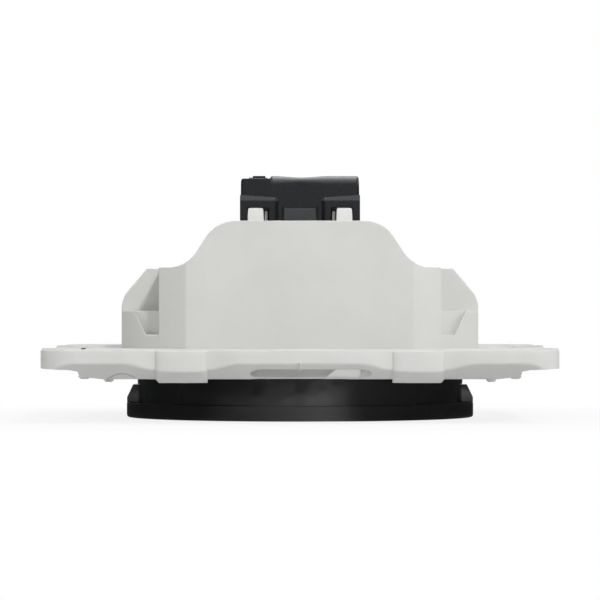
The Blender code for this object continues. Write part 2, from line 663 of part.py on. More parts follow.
def build_housing(made_of, parent):
    housing = cut(housing_solid("rear_housing"), housing_cavity())
    housing.name = "rear_housing"
    cut(housing, *(corner_pocket(number, *signs) for number, signs in enumerate(CORNERS)))
    limit = housing_solid("column limit")
    for number, (sign_x, sign_y) in enumerate(CORNERS):
        boss = (sign_x * BOSS_OFFSET, sign_y * BOSS_OFFSET)
        post = (sign_x * BOARD_POST_OFFSET[0], sign_y * BOARD_POST_OFFSET[1])
        join(
            housing,
            housing_column(f"screw boss {number}", BOSS_RADIUS, boss, RIM_Z, limit),
            housing_column(f"board post {number}", BOARD_POST_RADIUS, post, BUS_BACK_Z + SEAT_GAP, limit),
        )
        lug_place = (sign_x * LUG_CENTRE, sign_y * COVER_LUG_Y, ROOF_Z + OVERLAP)
        lug_height = HOUSING_BACK_Z + LUG_HEIGHT - ROOF_Z - OVERLAP
        join(housing, box(f"cover lug {number}", (LUG_WIDTH, LUG_THICKNESS, lug_height), lug_place))
        pilot_length = SCREW_LENGTH + SEAT_GAP - (RIM_Z - CARRIER_FRONT_Z) + REACH
        pilot = (*boss, RIM_Z - REACH)
        cut(housing, cylinder(f"pilot {number}", SCREW_RADIUS + SEAT_GAP, pilot_length, pilot, SMALL_SEGMENTS))
    well = (TERMINAL_WIDTH + 2 * SEAT_GAP, TERMINAL_LENGTH + 2 * SEAT_GAP)
    tub_height = ROOF_Z + OVERLAP - WELL_FLOOR_Z + WELL_FLOOR
    tub_z = WELL_FLOOR_Z - WELL_FLOOR
    join(housing, box("well tub", (well[0] + 2 * WELL_WALL, well[1] + 2 * WELL_WALL, tub_height), (0, 0, tub_z)))
    cut(housing, box("well", (*well, WELL_DEPTH + REACH), (0, 0, WELL_FLOOR_Z)))
    for side in (-1, 1):
        hole = (side * PIN_X, 0, tub_z - SEAT_GAP)
        hole_length = WELL_FLOOR + 2 * SEAT_GAP
        cut(housing, cylinder(f"pin hole {side}", PIN_RADIUS + SEAT_GAP, hole_length, hole, SMALL_SEGMENTS))
    for x, radius in ((0, BUTTON_RADIUS), (LAMP_X, LAMP_RADIUS)):
        place = (x, BUTTON_Y, ROOF_Z - SEAT_GAP)
        cut(housing, cylinder(f"back hole {x}", radius + SEAT_GAP, HOUSING_WALL + REACH, place, SMALL_SEGMENTS))
    piece(housing, made_of, parent)


# Cable cover


def cover_profile(inset, low):
    """The cover seen from its side, in YZ: straight walls and a rounded back."""
    half, top = COVER_LENGTH / 2 - inset, COVER_TOP_Z - inset
    radius = max(COVER_ROUND - inset, WELD)
    centre = (half - radius, top - radius)
    return mirrored_profile(arc(centre, radius, math.pi / 2, 0) + [(half, low)])


def end_features(side):
    """What is joined to and cut from the cover's end at -Y or +Y: pads, notches and the spring tongue."""
    wall_y = COVER_LENGTH / 2
    pad_top = COVER_Z + PAD_HEIGHT
    root = wall_y - COVER_WALL / 2
    pad_outline = [
        (side * root, COVER_Z),
        (side * (wall_y + PAD_PROUD), COVER_Z),
        (side * (wall_y + PAD_PROUD), pad_top),
        (side * wall_y, pad_top + PAD_PROUD),
        (side * root, pad_top + PAD_PROUD),
    ]
    tongue_outline = [
        (side * root, COVER_Z),
        (side * (wall_y + TONGUE_PROUD), COVER_Z),
        (side * wall_y, COVER_Z + TONGUE_HEIGHT),
        (side * root, COVER_Z + TONGUE_HEIGHT),
    ]
    joined, removed = [], []
    notch_size = (LUG_WIDTH + 2 * RUNNING_GAP, 2 * REACH, LUG_HEIGHT + REACH)
    slit_size = (TONGUE_SLIT, 2 * REACH, TONGUE_HEIGHT + REACH)
    for hand in (-1, 1):
        outer = hand * COVER_WIDTH / 2
        inner = hand * (COVER_WIDTH / 2 - PAD_WIDTH)
        joined.append(prism(f"pad {side} {hand}", pad_outline, min(outer, inner), max(outer, inner), "X"))
        notch = (hand * LUG_CENTRE, side * wall_y, COVER_Z - REACH)
        removed.append(box(f"notch {side} {hand}", notch_size, notch))
        slit = (hand * (TONGUE_WIDTH + TONGUE_SLIT) / 2, side * wall_y, COVER_Z - REACH)
        removed.append(box(f"tongue slit {side} {hand}", slit_size, slit))
    joined.append(prism(f"tongue {side}", tongue_outline, -TONGUE_WIDTH / 2, TONGUE_WIDTH / 2, "X"))
    return joined, removed


def build_cover(made_of, parent):
    half = COVER_WIDTH / 2
    cover = prism("cable_cover", cover_profile(0, COVER_Z), -half, half, "X")
    inside = half - COVER_WALL
    for side in (-1, 1):
        joined, removed = end_features(side)
        join(cover, *joined)
        cut(cover, *removed)
    cut(cover, prism("cover inside", cover_profile(COVER_WALL, COVER_Z - REACH), -inside, inside, "X"))
    outlet_size = (2 * COVER_WALL + REACH, OUTLET_WIDTH, OUTLET_HEIGHT + REACH)
    outlet = (-half, 0, COVER_Z - REACH)
    step_size = (STEP_WIDTH + REACH, COVER_LENGTH + REACH, STEP_DROP + REACH)
    step = (-half + (STEP_WIDTH - REACH) / 2, 0, COVER_TOP_Z - STEP_DROP)
    cut(cover, box("cable outlet", outlet_size, outlet), box("cover step", step_size, step))
    block_height = STEP_BLOCK[2] + OVERLAP
    block = (STEP_BLOCK_X, -COVER_LENGTH / 2 + COVER_ROUND + STEP_BLOCK[1] / 2, COVER_TOP_Z - STEP_DROP - OVERLAP)
    join(cover, box("tie block", (*STEP_BLOCK[:2], block_height), block))
    piece(cover, made_of, parent)


# Dial


def build_dial(black, pale, parent):
    cap = cylinder("dial_cap", CAP_RADIUS, CAP_THICKNESS, (0, 0, 0), WHEEL_SEGMENTS)
    bevel = cap.modifiers.new("edge", "BEVEL")
    bevel.width = CAP_EDGE
    bevel.segments = 2
    bevel.limit_method = "ANGLE"
    pointer_y = -(CAP_RADIUS - POINTER_MARGIN - POINTER_LENGTH / 2)
    groove_size = (POINTER_WIDTH + 2 * SEAT_GAP, POINTER_LENGTH + 2 * SEAT_GAP, POINTER_DEPTH + SEAT_GAP + REACH)
    cut(cap, box("pointer groove", groove_size, (0, pointer_y, -REACH)))
    piece(cap, black, parent)
    inlay = box("pointer_inlay", (POINTER_WIDTH, POINTER_LENGTH, POINTER_DEPTH), (0, pointer_y, 0))
    piece(inlay, pale, parent)

    height = DRUM_END_Z - DRUM_START_Z
    drum = cylinder("dial_body", DRUM_RADIUS, height, (0, 0, DRUM_START_Z), WHEEL_SEGMENTS)
    web_z = DRUM_START_Z + WEB_THICKNESS
    hollow = (0, 0, web_z)
    cut(drum, cylinder("drum hollow", DRUM_RADIUS - DRUM_WALL, height + REACH, hollow, WHEEL_SEGMENTS))
    lug_z = DRUM_START_Z
    root = DRUM_RADIUS - DRUM_WALL / 2
    lug_outline = [
        (root, lug_z),
        (DRUM_RADIUS + GRIP_LUG_PROUD, lug_z),
        (DRUM_RADIUS + GRIP_LUG_PROUD, lug_z + GRIP_LUG_FLAT),
        (DRUM_RADIUS + GRIP_LUG_BACK_PROUD, lug_z + GRIP_LUG_LENGTH),
        (root, lug_z + GRIP_LUG_LENGTH),
    ]
    for side in (-1, 1):
        placed = [(side * x, z) for x, z in lug_outline]
        join(drum, prism(f"grip lug {side}", placed, -GRIP_LUG_WIDTH / 2, GRIP_LUG_WIDTH / 2, "Y"))
    rib_length = DRUM_RADIUS - DRUM_WALL + OVERLAP
    rib_height = HUB_END_Z - web_z
    for number in range(DIAL_RIBS):
        rib = box(f"rib {number}", (rib_length, DIAL_RIB_WIDTH, rib_height), (0, 0, web_z - OVERLAP))
        for corner in rib.data.vertices:
            corner.co.x += rib_length / 2
        rib.rotation_euler.z = 2 * math.pi * (number + 0.5) / DIAL_RIBS
        join(drum, rib)
    join(drum, cylinder("hub", HUB_RADIUS, HUB_END_Z - web_z + OVERLAP, (0, 0, web_z - OVERLAP)))
    cut(drum, d_bar("hub bore", SEAT_GAP, DRUM_START_Z + SEAT_GAP, DRUM_END_Z + REACH))
    piece(drum, black, parent)


def d_bar(name, clearance, low, high):
    """The shaft's D-shaped section, grown by a clearance."""
    bar = cylinder(name, SHAFT_RADIUS + clearance, high - low, (0, 0, low))
    flat_y = SHAFT_FLAT + clearance
    size = (4 * SHAFT_RADIUS, 2 * SHAFT_RADIUS, high - low + 2 * REACH)
    return cut(bar, box(f"{name} flat", size, (0, flat_y + SHAFT_RADIUS, low - REACH)))


# Carrier plate, screws and encoder


def build_carrier(made_of, steel, parent):
    radius = DRUM_RADIUS + DRUM_CLEARANCE - SEAT_GAP
    carrier = cylinder("carrier_plate", radius, CARRIER_THICKNESS, (0, 0, CARRIER_FRONT_Z), WHEEL_SEGMENTS)
    post_height = CONTROL_BOARD_Z - SEAT_GAP - CARRIER_BACK_Z + OVERLAP
    for number in range(4):
        heading = (number + 0.5) * math.pi / 2
        place = (CARRIER_POST_CIRCLE * math.cos(heading), CARRIER_POST_CIRCLE * math.sin(heading))
        post = (*place, CARRIER_BACK_Z - OVERLAP)
        join(carrier, cylinder(f"carrier post {number}", CARRIER_POST_RADIUS, post_height, post, SMALL_SEGMENTS))
    through = CARRIER_THICKNESS + 2 * REACH
    cut(carrier, cylinder("bush way", BUSH_RADIUS + SEAT_GAP, through, (0, 0, CARRIER_FRONT_Z - REACH)))
    for number, (sign_x, sign_y) in enumerate(CORNERS):
        place = (sign_x * BOSS_OFFSET, sign_y * BOSS_OFFSET)
        way = (*place, CARRIER_FRONT_Z - REACH)
        cut(carrier, cylinder(f"carrier screw way {number}", SCREW_RADIUS + SEAT_GAP, through, way, SMALL_SEGMENTS))
        build_screw(number + 1, place, steel, parent)
    piece(carrier, made_of, parent)


def build_screw(number, place, steel, parent):
    head_z = CARRIER_FRONT_Z - SEAT_GAP - SCREW_HEAD_HEIGHT
    screw = cylinder(f"carrier_screw_{number}", SCREW_HEAD_RADIUS, SCREW_HEAD_HEIGHT, (*place, head_z), SMALL_SEGMENTS)
    length = SCREW_LENGTH + OVERLAP
    shank = (*place, head_z + SCREW_HEAD_HEIGHT - OVERLAP)
    join(screw, cylinder(f"shank {number}", SCREW_RADIUS, length, shank, SMALL_SEGMENTS))
    slot_size = (4 * SCREW_HEAD_RADIUS, SCREW_SLOT_WIDTH, SCREW_SLOT_DEPTH + REACH)
    cut(screw, box(f"screw slot {number}", slot_size, (*place, head_z - REACH)))
    piece(screw, steel, parent)


def build_encoder(steel, dark, pale, parent, press_axis, dial_axis):
    bush = cylinder("encoder_bush", BUSH_RADIUS, ENCODER_FRONT_Z - SEAT_GAP - BUSH_FRONT_Z, (0, 0, BUSH_FRONT_Z))
    cut(bush, cylinder("bush bore", SHAFT_RADIUS + RUNNING_GAP, ENCODER_HEIGHT + REACH, (0, 0, BUSH_FRONT_Z - REACH / 2)))
    piece(bush, steel, parent)

    body = box("encoder_body", (ENCODER_SIDE, ENCODER_SIDE, ENCODER_HEIGHT), (0, 0, ENCODER_FRONT_Z))
    cavity_z = ENCODER_FRONT_Z + ENCODER_FACE
    cut(
        body,
        cylinder("encoder cavity", ENCODER_CAVITY_RADIUS, ENCODER_HEIGHT, (0, 0, cavity_z)),
        cylinder("encoder eye", SHAFT_RADIUS + RUNNING_GAP, ENCODER_HEIGHT, (0, 0, ENCODER_FRONT_Z - REACH)),
    )
    piece(body, steel, parent)

    detent_z = cavity_z + SEAT_GAP
    detent = cylinder("detent_spring", DETENT_RADIUS, DETENT_THICKNESS, (0, 0, detent_z))
    eye_radius = SHAFT_RADIUS + RUNNING_GAP
    cut(detent, cylinder("detent eye", eye_radius, DETENT_THICKNESS + 2 * REACH, (0, 0, detent_z - REACH)))
    piece(detent, steel, parent)

    rotor_z = detent_z + DETENT_THICKNESS + RUNNING_GAP
    rotor = cylinder("encoder_rotor", ROTOR_RADIUS, ROTOR_THICKNESS, (0, 0, rotor_z))
    cut(rotor, d_bar("rotor bore", SEAT_GAP, rotor_z - REACH, rotor_z + ROTOR_THICKNESS + REACH))
    piece(rotor, dark, dial_axis)

    dome_z = ENCODER_BACK_Z - DOME_HEIGHT
    dome = cylinder("push_dome", PLUNGER_RADIUS, DOME_HEIGHT, (0, 0, dome_z), end_radius=DOME_RADIUS)
    piece(dome, steel, parent)

    plunger_end_z = dome_z - PRESS_TRAVEL - RUNNING_GAP
    plunger_z = plunger_end_z - PLUNGER_LENGTH
    plunger = cylinder("push_plunger", PLUNGER_RADIUS, PLUNGER_LENGTH, (0, 0, plunger_z))
    piece(plunger, pale, press_axis)

    shaft = d_bar("encoder_shaft", 0, DRUM_START_Z + 2 * SEAT_GAP, plunger_z - SEAT_GAP)
    piece(shaft, steel, dial_axis)


# Boards


def build_control_board(board, dark, parent):
    disc = cylinder("control_board", CONTROL_BOARD_RADIUS, BOARD_THICKNESS, (0, 0, CONTROL_BOARD_Z), WHEEL_SEGMENTS)
    piece(disc, board, parent)
    sensor_y = CONTROL_BOARD_RADIUS - SENSOR_EDGE
    lead_top = CONTROL_BOARD_Z - SEAT_GAP
    bead_z = lead_top - SENSOR_STANDOFF - SENSOR_RADIUS
    shape = bmesh.new()
    bmesh.ops.create_uvsphere(shape, u_segments=SMALL_SEGMENTS, v_segments=SMALL_SEGMENTS // 2, radius=SENSOR_RADIUS)
    sensor = solid("temperature_sensor", shape, (0, sensor_y, bead_z))
    for side in (-1, 1):
        foot = (side * SENSOR_LEAD_SPACING / 2, sensor_y, bead_z)
        join(sensor, cylinder(f"sensor lead {side}", SENSOR_LEAD_RADIUS, lead_top - bead_z, foot, SMALL_SEGMENTS // 2))
    piece(sensor, dark, parent)


def build_bus_board(board, dark, silver, parent):
    size = (BUS_BOARD_WIDTH, BUS_BOARD_LENGTH, BOARD_THICKNESS)
    plate = box("bus_board", size, (0, 0, BUS_BOARD_Z))
    for side in (-1, 1):
        hole = (side * PIN_X, 0, BUS_BOARD_Z - REACH)
        length = BOARD_THICKNESS + 2 * REACH
        cut(plate, cylinder(f"board hole {side}", PIN_RADIUS + SEAT_GAP, length, hole, SMALL_SEGMENTS))
    piece(plate, board, parent)

    header_height = BOARD_SPACE - 2 * SEAT_GAP
    header = box("board_header", (*HEADER_SIZE, header_height), (0, HEADER_Y, CONTROL_BACK_Z + SEAT_GAP))
    piece(header, dark, parent)

    under = BUS_BOARD_Z - SEAT_GAP
    chip = box("microcontroller", (CHIP_SIDE, CHIP_SIDE, CHIP_HEIGHT), (0, CHIP_Y, under - CHIP_HEIGHT))
    piece(chip, dark, parent)
    choke_height = BOARD_SPACE - SEAT_GAP - CHOKE_HEADROOM
    choke = cylinder("bus_choke", CHOKE_RADIUS, choke_height, (0, CHOKE_Y, under - choke_height))
    piece(choke, dark, parent)
    can_height = BOARD_SPACE - SEAT_GAP - CAPACITOR_HEADROOM
    for number, side in enumerate((-1, 1)):
        place = (side * CAPACITOR_SPREAD, CAPACITOR_Y, under - can_height)
        can = cylinder(f"bus_capacitor_{number + 1}", CAPACITOR_RADIUS, can_height, place)
        piece(can, silver, parent)


def build_programming(dark, red, clear, parent, button_axis):
    above = BUS_BACK_Z + SEAT_GAP
    switch = box("programming_switch", (SWITCH_SIDE, SWITCH_SIDE, SWITCH_TOP_Z - above), (0, BUTTON_Y, above))
    piece(switch, dark, parent)

    flange = cylinder("programming_button", BUTTON_FLANGE_RADIUS, BUTTON_FLANGE, (0, 0, BUTTON_FLANGE_Z), SMALL_SEGMENTS)
    stem_height = HOUSING_BACK_Z + BUTTON_PROUD - BUTTON_FLANGE_Z
    flange.location.y = BUTTON_Y
    stem = cylinder("button stem", BUTTON_RADIUS, stem_height, (0, BUTTON_Y, BUTTON_FLANGE_Z), SMALL_SEGMENTS)
    join(flange, stem)
    piece(flange, red, button_axis)

    led = box("programming_led", LED_SIZE, (LAMP_X, BUTTON_Y, above))
    piece(led, clear, parent)
    pipe_z = above + LED_SIZE[2] + SEAT_GAP
    pipe_height = HOUSING_BACK_Z + LAMP_PROUD - pipe_z
    pipe = cylinder("led_light_pipe", LAMP_RADIUS, pipe_height, (LAMP_X, BUTTON_Y, pipe_z), SMALL_SEGMENTS)
    piece(pipe, clear, parent)


def build_terminal(plus, minus, brass, parent):
    half_width = (TERMINAL_WIDTH - SEAT_GAP) / 2
    first_wire = -TERMINAL_WIRE_SPACING * (TERMINAL_WIRES - 1) / 2
    for side, pole, made_of in ((-1, "positive", plus), (1, "negative", minus)):
        x = side * (TERMINAL_WIDTH - half_width) / 2
        half = box(f"bus_terminal_{pole}", (half_width, TERMINAL_LENGTH, TERMINAL_HEIGHT), (x, 0, TERMINAL_Z))
        for wire in range(TERMINAL_WIRES):
            y = first_wire + wire * TERMINAL_WIRE_SPACING
            entry = (x, y, TERMINAL_TOP_Z - TERMINAL_WIRE_DEPTH)
            length = TERMINAL_WIRE_DEPTH + REACH
            cut(half, cylinder(f"wire entry {pole} {wire}", TERMINAL_WIRE_RADIUS, length, entry, SMALL_SEGMENTS))
        pin_x = side * PIN_X
        socket_length = PIN_IN_TERMINAL + SEAT_GAP + REACH
        socket = (pin_x, 0, TERMINAL_Z - REACH)
        cut(half, cylinder(f"pin socket {pole}", PIN_RADIUS + SEAT_GAP, socket_length, socket, SMALL_SEGMENTS))
        piece(half, made_of, parent)
        pin_z = BUS_BOARD_Z - PIN_TAIL
        pin = cylinder(f"bus_pin_{pole}", PIN_RADIUS, TERMINAL_Z + PIN_IN_TERMINAL - pin_z, (pin_x, 0, pin_z), SMALL_SEGMENTS)
        piece(pin, brass, parent)


def build_controller():
    grey = material("light grey plastic", (0.62, 0.62, 0.61), 0.5)
    black = material("black plastic", (0.012, 0.012, 0.013), 0.35)
    charcoal = material("charcoal plastic", (0.03, 0.03, 0.032), 0.4)
    pale = material("pale plastic", (0.8, 0.8, 0.78), 0.45)
    steel = material("bright steel", (0.62, 0.62, 0.6), 0.3, 1.0)
    brass = material("tinned brass", (0.72, 0.66, 0.5), 0.3, 1.0)
    board = material("green board", (0.02, 0.12, 0.05), 0.5)
    red = material("red plastic", (0.55, 0.03, 0.02), 0.4)
    dark_grey = material("dark grey plastic", (0.07, 0.07, 0.075), 0.45)
    silver = material("aluminium can", (0.7, 0.7, 0.7), 0.25, 1.0)
    clear = material("clear lamp plastic", (0.8, 0.78, 0.75), 0.1)

    root = axis_empty("controller_root")
    press_axis = axis_empty("dial_press_axis", root)
    dial_axis = axis_empty("dial_turn_axis", press_axis)
    cover_axis = axis_empty("cover_lift_axis", root)
    button_axis = axis_empty("programming_press_axis", root)

    build_frame(grey, root)
    build_housing(grey, root)
    build_cover(charcoal, cover_axis)
    build_dial(black, pale, dial_axis)
    build_carrier(charcoal, steel, root)
    build_encoder(steel, dark_grey, pale, root, press_axis, dial_axis)
    build_control_board(board, dark_grey, root)
    build_bus_board(board, dark_grey, silver, root)
    build_programming(dark_grey, red, clear, root, button_axis)
    build_terminal(red, dark_grey, brass, root)


build_controller()
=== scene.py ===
# %% [markdown]
# # Dressing a flush-mounted room controller
# The object is the inside half of a rotary room controller. It lies on its dial, with its wall side up. A
# light grey frame sits on the wall, a stepped housing of the same grey sinks into the wall box, a
# charcoal hood covers the bus terminal on the housing's back, and a black dial turns and presses below.
# The CAD model gives every size and every place. This lesson gives the same pieces their soft moulded
# edges, their finishes and a studio, one short step at a time. Shapes are written in millimetres.

# %% Load the frame
import math

import bmesh
import bpy
import numpy as np
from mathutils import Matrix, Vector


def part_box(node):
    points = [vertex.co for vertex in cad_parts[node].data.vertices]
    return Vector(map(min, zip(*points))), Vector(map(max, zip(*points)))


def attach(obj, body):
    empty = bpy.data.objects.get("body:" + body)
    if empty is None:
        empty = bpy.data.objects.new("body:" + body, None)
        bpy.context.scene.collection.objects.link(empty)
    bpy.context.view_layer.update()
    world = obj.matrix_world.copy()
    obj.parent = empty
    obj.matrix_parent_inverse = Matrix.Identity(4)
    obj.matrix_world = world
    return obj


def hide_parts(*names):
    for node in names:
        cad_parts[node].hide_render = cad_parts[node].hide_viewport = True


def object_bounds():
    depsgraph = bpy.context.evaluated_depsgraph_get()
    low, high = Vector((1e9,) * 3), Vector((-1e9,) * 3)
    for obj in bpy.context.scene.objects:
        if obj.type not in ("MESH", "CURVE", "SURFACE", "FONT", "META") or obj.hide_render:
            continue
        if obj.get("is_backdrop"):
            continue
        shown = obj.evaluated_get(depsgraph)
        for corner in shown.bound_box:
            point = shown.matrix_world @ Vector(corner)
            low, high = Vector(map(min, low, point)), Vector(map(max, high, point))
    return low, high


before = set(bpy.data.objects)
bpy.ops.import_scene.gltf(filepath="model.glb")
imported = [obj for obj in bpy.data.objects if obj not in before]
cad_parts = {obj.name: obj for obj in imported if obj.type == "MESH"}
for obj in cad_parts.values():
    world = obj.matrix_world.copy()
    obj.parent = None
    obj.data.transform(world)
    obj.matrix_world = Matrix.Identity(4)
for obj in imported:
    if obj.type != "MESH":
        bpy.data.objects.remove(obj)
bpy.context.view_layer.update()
MM = 0.001
scene = bpy.context.scene
scene.view_settings.view_transform = "Standard"


def cad_box(node):
    """A CAD node's lowest and highest corners in millimetres."""
    low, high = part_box(node)
    return low / MM, high / MM


# %% [markdown]
# ## The camera
# The photograph looks straight along +Y, level with the middle of the housing. A long lens far away would
# flatten everything, but the near edge of the frame is clearly larger than the far one, so the camera
# stands 560 mm away. The focal length in pixels and the sensor's width together give the lens.

# %% Camera
PHOTO_PIXELS = 600
FOCAL_PIXELS = 3905
SENSOR_WIDTH = 36.0
CAMERA_DISTANCE = 560.0
CAMERA_HEIGHT = 16.7

lens = bpy.data.cameras.new("photo_lens")
lens.sensor_width = SENSOR_WIDTH
lens.lens = FOCAL_PIXELS * SENSOR_WIDTH / PHOTO_PIXELS
lens.clip_start = 0.01
camera = bpy.data.objects.new("photo_camera", lens)
camera.location = (0, -CAMERA_DISTANCE * MM, CAMERA_HEIGHT * MM)
camera.rotation_euler = (math.pi / 2, 0, 0)
scene.collection.objects.link(camera)
scene.camera = camera
print("lens in mm:", round(lens.lens, 1))


# %% [markdown]
# ## The studio
# The picture has a clean white ground, so rays that go straight to the background, or reach it in a gloss
# or through something clear, find white. Every other ray finds a dimmer grey sky, which fills the
# shadows. The floor is white paper. Close to the object it keeps some of its own shading, so the shadow
# stays.

# %% A helper that adds nodes
def add_node(tree, kind, props=None, sockets=None, links=None):
    """Adds one node: its properties, the values of its sockets, and the outputs that feed its sockets."""
    node = tree.nodes.new(kind)
    for name, value in (props or {}).items():
        setattr(node, name, value)
    for name, value in (sockets or {}).items():
        node.inputs[name].default_value = value
    for name, source in (links or {}).items():
        tree.links.new(source, node.inputs[name])
    return node


def background_ray(tree):
    """1 for a ray that shows the background: from the camera, from a gloss or through something clear."""
    path = add_node(tree, "ShaderNodeLightPath").outputs
    pair = {0: path["Is Camera Ray"], 1: path["Is Glossy Ray"]}
    seen = add_node(tree, "ShaderNodeMath", {"operation": "MAXIMUM"}, links=pair)
    pair = {0: seen.outputs[0], 1: path["Is Transmission Ray"]}
    return add_node(tree, "ShaderNodeMath", {"operation": "MAXIMUM"}, links=pair).outputs[0]


# %% Sky and floor
WHITE = (1.0, 1.0, 1.0, 1.0)
SKY_STRENGTH = 0.5
FLOOR_GREY = (0.75, 0.75, 0.75, 1.0)
FLOOR_HALF = 20.0
FLOOR_DROP = 0.1 * MM
SQUARE = ((-1, -1), (1, -1), (1, 1), (-1, 1))  # a flat square's corners, in order
SHADOW_SHARE = 0.15  # how much of the floor's own shading shows near the object
SHADOW_NEAR = 0.03
SHADOW_FAR = 0.08


def blank_tree(owner):
    """The node tree of a world or a material, emptied."""
    owner.use_nodes = True
    owner.node_tree.nodes.clear()
    return owner.node_tree


def link_mesh(name, mesh):
    """An object in the scene that shows a mesh."""
    made = bpy.data.objects.new(name, mesh)
    scene.collection.objects.link(made)
    return made


scene.world = bpy.data.worlds.new("studio_sky")
tree = blank_tree(scene.world)
dim = add_node(tree, "ShaderNodeBackground", sockets={"Color": WHITE, "Strength": SKY_STRENGTH})
white = add_node(tree, "ShaderNodeBackground", sockets={"Color": WHITE, "Strength": 1.0})
links = {0: background_ray(tree), 1: dim.outputs[0], 2: white.outputs[0]}
mixed = add_node(tree, "ShaderNodeMixShader", links=links)
add_node(tree, "ShaderNodeOutputWorld", links={"Surface": mixed.outputs[0]})

# White paper: matt, and so evenly lit that only a faint shadow close to the object shows.
paper = bpy.data.materials.new("white_paper")
tree = blank_tree(paper)
matt = add_node(tree, "ShaderNodeBsdfDiffuse", sockets={"Color": FLOOR_GREY})
glow = add_node(tree, "ShaderNodeEmission", sockets={"Color": WHITE, "Strength": 1.0})
place = add_node(tree, "ShaderNodeTexCoord").outputs["Object"]
reach = add_node(tree, "ShaderNodeVectorMath", {"operation": "LENGTH"}, links={0: place})
fade_range = {"From Min": SHADOW_NEAR, "From Max": SHADOW_FAR, "To Min": 1 - SHADOW_SHARE, "To Max": 1.0}
fade = add_node(tree, "ShaderNodeMapRange", sockets=fade_range, links={"Value": reach.outputs["Value"]})
pair = {0: background_ray(tree), 1: fade.outputs[0]}
whiteness = add_node(tree, "ShaderNodeMath", {"operation": "MULTIPLY"}, links=pair)
links = {0: whiteness.outputs[0], 1: matt.outputs[0], 2: glow.outputs[0]}
mixed = add_node(tree, "ShaderNodeMixShader", links=links)
add_node(tree, "ShaderNodeOutputMaterial", links={"Surface": mixed.outputs[0]})

floor_mesh = bpy.data.meshes.new("floor")
corners = [(x * FLOOR_HALF, y * FLOOR_HALF, -FLOOR_DROP) for x, y in SQUARE]
floor_mesh.from_pydata(corners, [], [(0, 1, 2, 3)])
floor_mesh.materials.append(paper)
floor = link_mesh("floor", floor_mesh)
floor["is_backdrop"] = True
print("sky", SKY_STRENGTH, "floor", FLOOR_HALF * 2, "m")


# %% [markdown]
# ## What the gloss sees
# The dial's rim is a polished black mirror. It shows the table in front of it: white paper that ends in a
# slanting edge, brightest a little to the right and dark towards both sides, where photographers stand
# black cards beside a dark object. So a thin sheet over the floor carries that pattern by its direction
# from the middle, and two cards stand at the sides for the rays that go level. Only gloss sees them: the
# camera doesn't, and they keep no light from the object or the floor.

# %% Sheet and cards
SHEET_HALF = 0.60
SHEET_LEVEL = -0.05 * MM
SHEET_PEAK = 1.8
RIM_FOCUS = 12.0 * MM  # a round mirror's rays spread from a point half its radius in front of its axis
PAPER_EDGE = (0.45, 0.89, 0.0)  # the direction across the paper's slanting edge
EDGE_FROM, EDGE_TO = -0.185, -0.145
BEYOND_PAPER = 0.30
FOOT_FROM, FOOT_TO, FOOT_SHADE = 0.09, 0.12, 0.82  # the object's own soft shade on the paper close by
# How bright the sheet is by direction, in degrees: 0 is towards the camera and 90 is the right.
SHEET_STOPS = ((-180, 0.01), (-115, 0.02), (-65, 0.08), (-27, 0.44), (-7, 0.67), (12, 0.96), (20, 0.88))
SHEET_STOPS += ((27, 0.66), (34, 0.32), (42, 0.16), (70, 0.09), (115, 0.02), (180, 0.01))
CARD_DISTANCE = 0.30
CARD_FRONTS = (-0.51, -0.435)  # how far the left and the right card come forward
CARD_BACK = 0.50
CARD_HEIGHT = 0.12
CARD_GREY = 0.06


def gloss_only(name, corners, material):
    """A flat piece of the studio that only gloss sees."""
    mesh = bpy.data.meshes.new(name)
    mesh.from_pydata(corners, [], [(0, 1, 2, 3)])
    mesh.materials.append(material)
    piece = link_mesh(name, mesh)
    piece.visible_camera = False
    piece.visible_diffuse = False
    piece.visible_shadow = False
    piece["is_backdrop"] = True
    print(name, "seen by gloss only")


# Lit paper: white in the middle, and dimmer towards its sides and past its slanting edge.
sheet = bpy.data.materials.new("lit_paper_sheet")
tree = blank_tree(sheet)
place = add_node(tree, "ShaderNodeTexCoord").outputs["Object"]
axes = add_node(tree, "ShaderNodeSeparateXYZ", links={0: place}).outputs
from_focus = {1: -1.0, 2: -RIM_FOCUS}
ahead = add_node(tree, "ShaderNodeMath", {"operation": "MULTIPLY_ADD"}, from_focus, {0: axes["Y"]})
pair = {0: axes["X"], 1: ahead.outputs[0]}
heading = add_node(tree, "ShaderNodeMath", {"operation": "ARCTAN2"}, links=pair)
turn_range = {"From Min": -math.pi, "From Max": math.pi}
share = add_node(tree, "ShaderNodeMapRange", sockets=turn_range, links={"Value": heading.outputs[0]})
round_about = add_node(tree, "ShaderNodeValToRGB", links={"Fac": share.outputs[0]})
ramp = round_about.color_ramp
while len(ramp.elements) < len(SHEET_STOPS):
    ramp.elements.new(0.5)
for element, (direction, grey) in zip(ramp.elements, SHEET_STOPS):
    element.position = direction / 360 + 0.5
    element.color = (grey, grey, grey, 1.0)
across = add_node(tree, "ShaderNodeVectorMath", {"operation": "DOT_PRODUCT"}, {1: PAPER_EDGE}, {0: place})
edge_range = {"From Min": EDGE_FROM, "From Max": EDGE_TO, "To Min": BEYOND_PAPER, "To Max": 1.0}
links = {"Value": across.outputs["Value"]}
paper_end = add_node(tree, "ShaderNodeMapRange", sockets=edge_range, links=links)
reach = add_node(tree, "ShaderNodeVectorMath", {"operation": "LENGTH"}, links={0: place})
foot_range = {"From Min": FOOT_FROM, "From Max": FOOT_TO}
foot_range |= {"To Min": FOOT_SHADE * SHEET_PEAK, "To Max": SHEET_PEAK}
foot = add_node(tree, "ShaderNodeMapRange", sockets=foot_range, links={"Value": reach.outputs["Value"]})
pair = {0: paper_end.outputs[0], 1: foot.outputs[0]}
strength = add_node(tree, "ShaderNodeMath", {"operation": "MULTIPLY"}, links=pair)
links = {"Color": round_about.outputs[0], "Strength": strength.outputs[0]}
lit = add_node(tree, "ShaderNodeEmission", links=links)
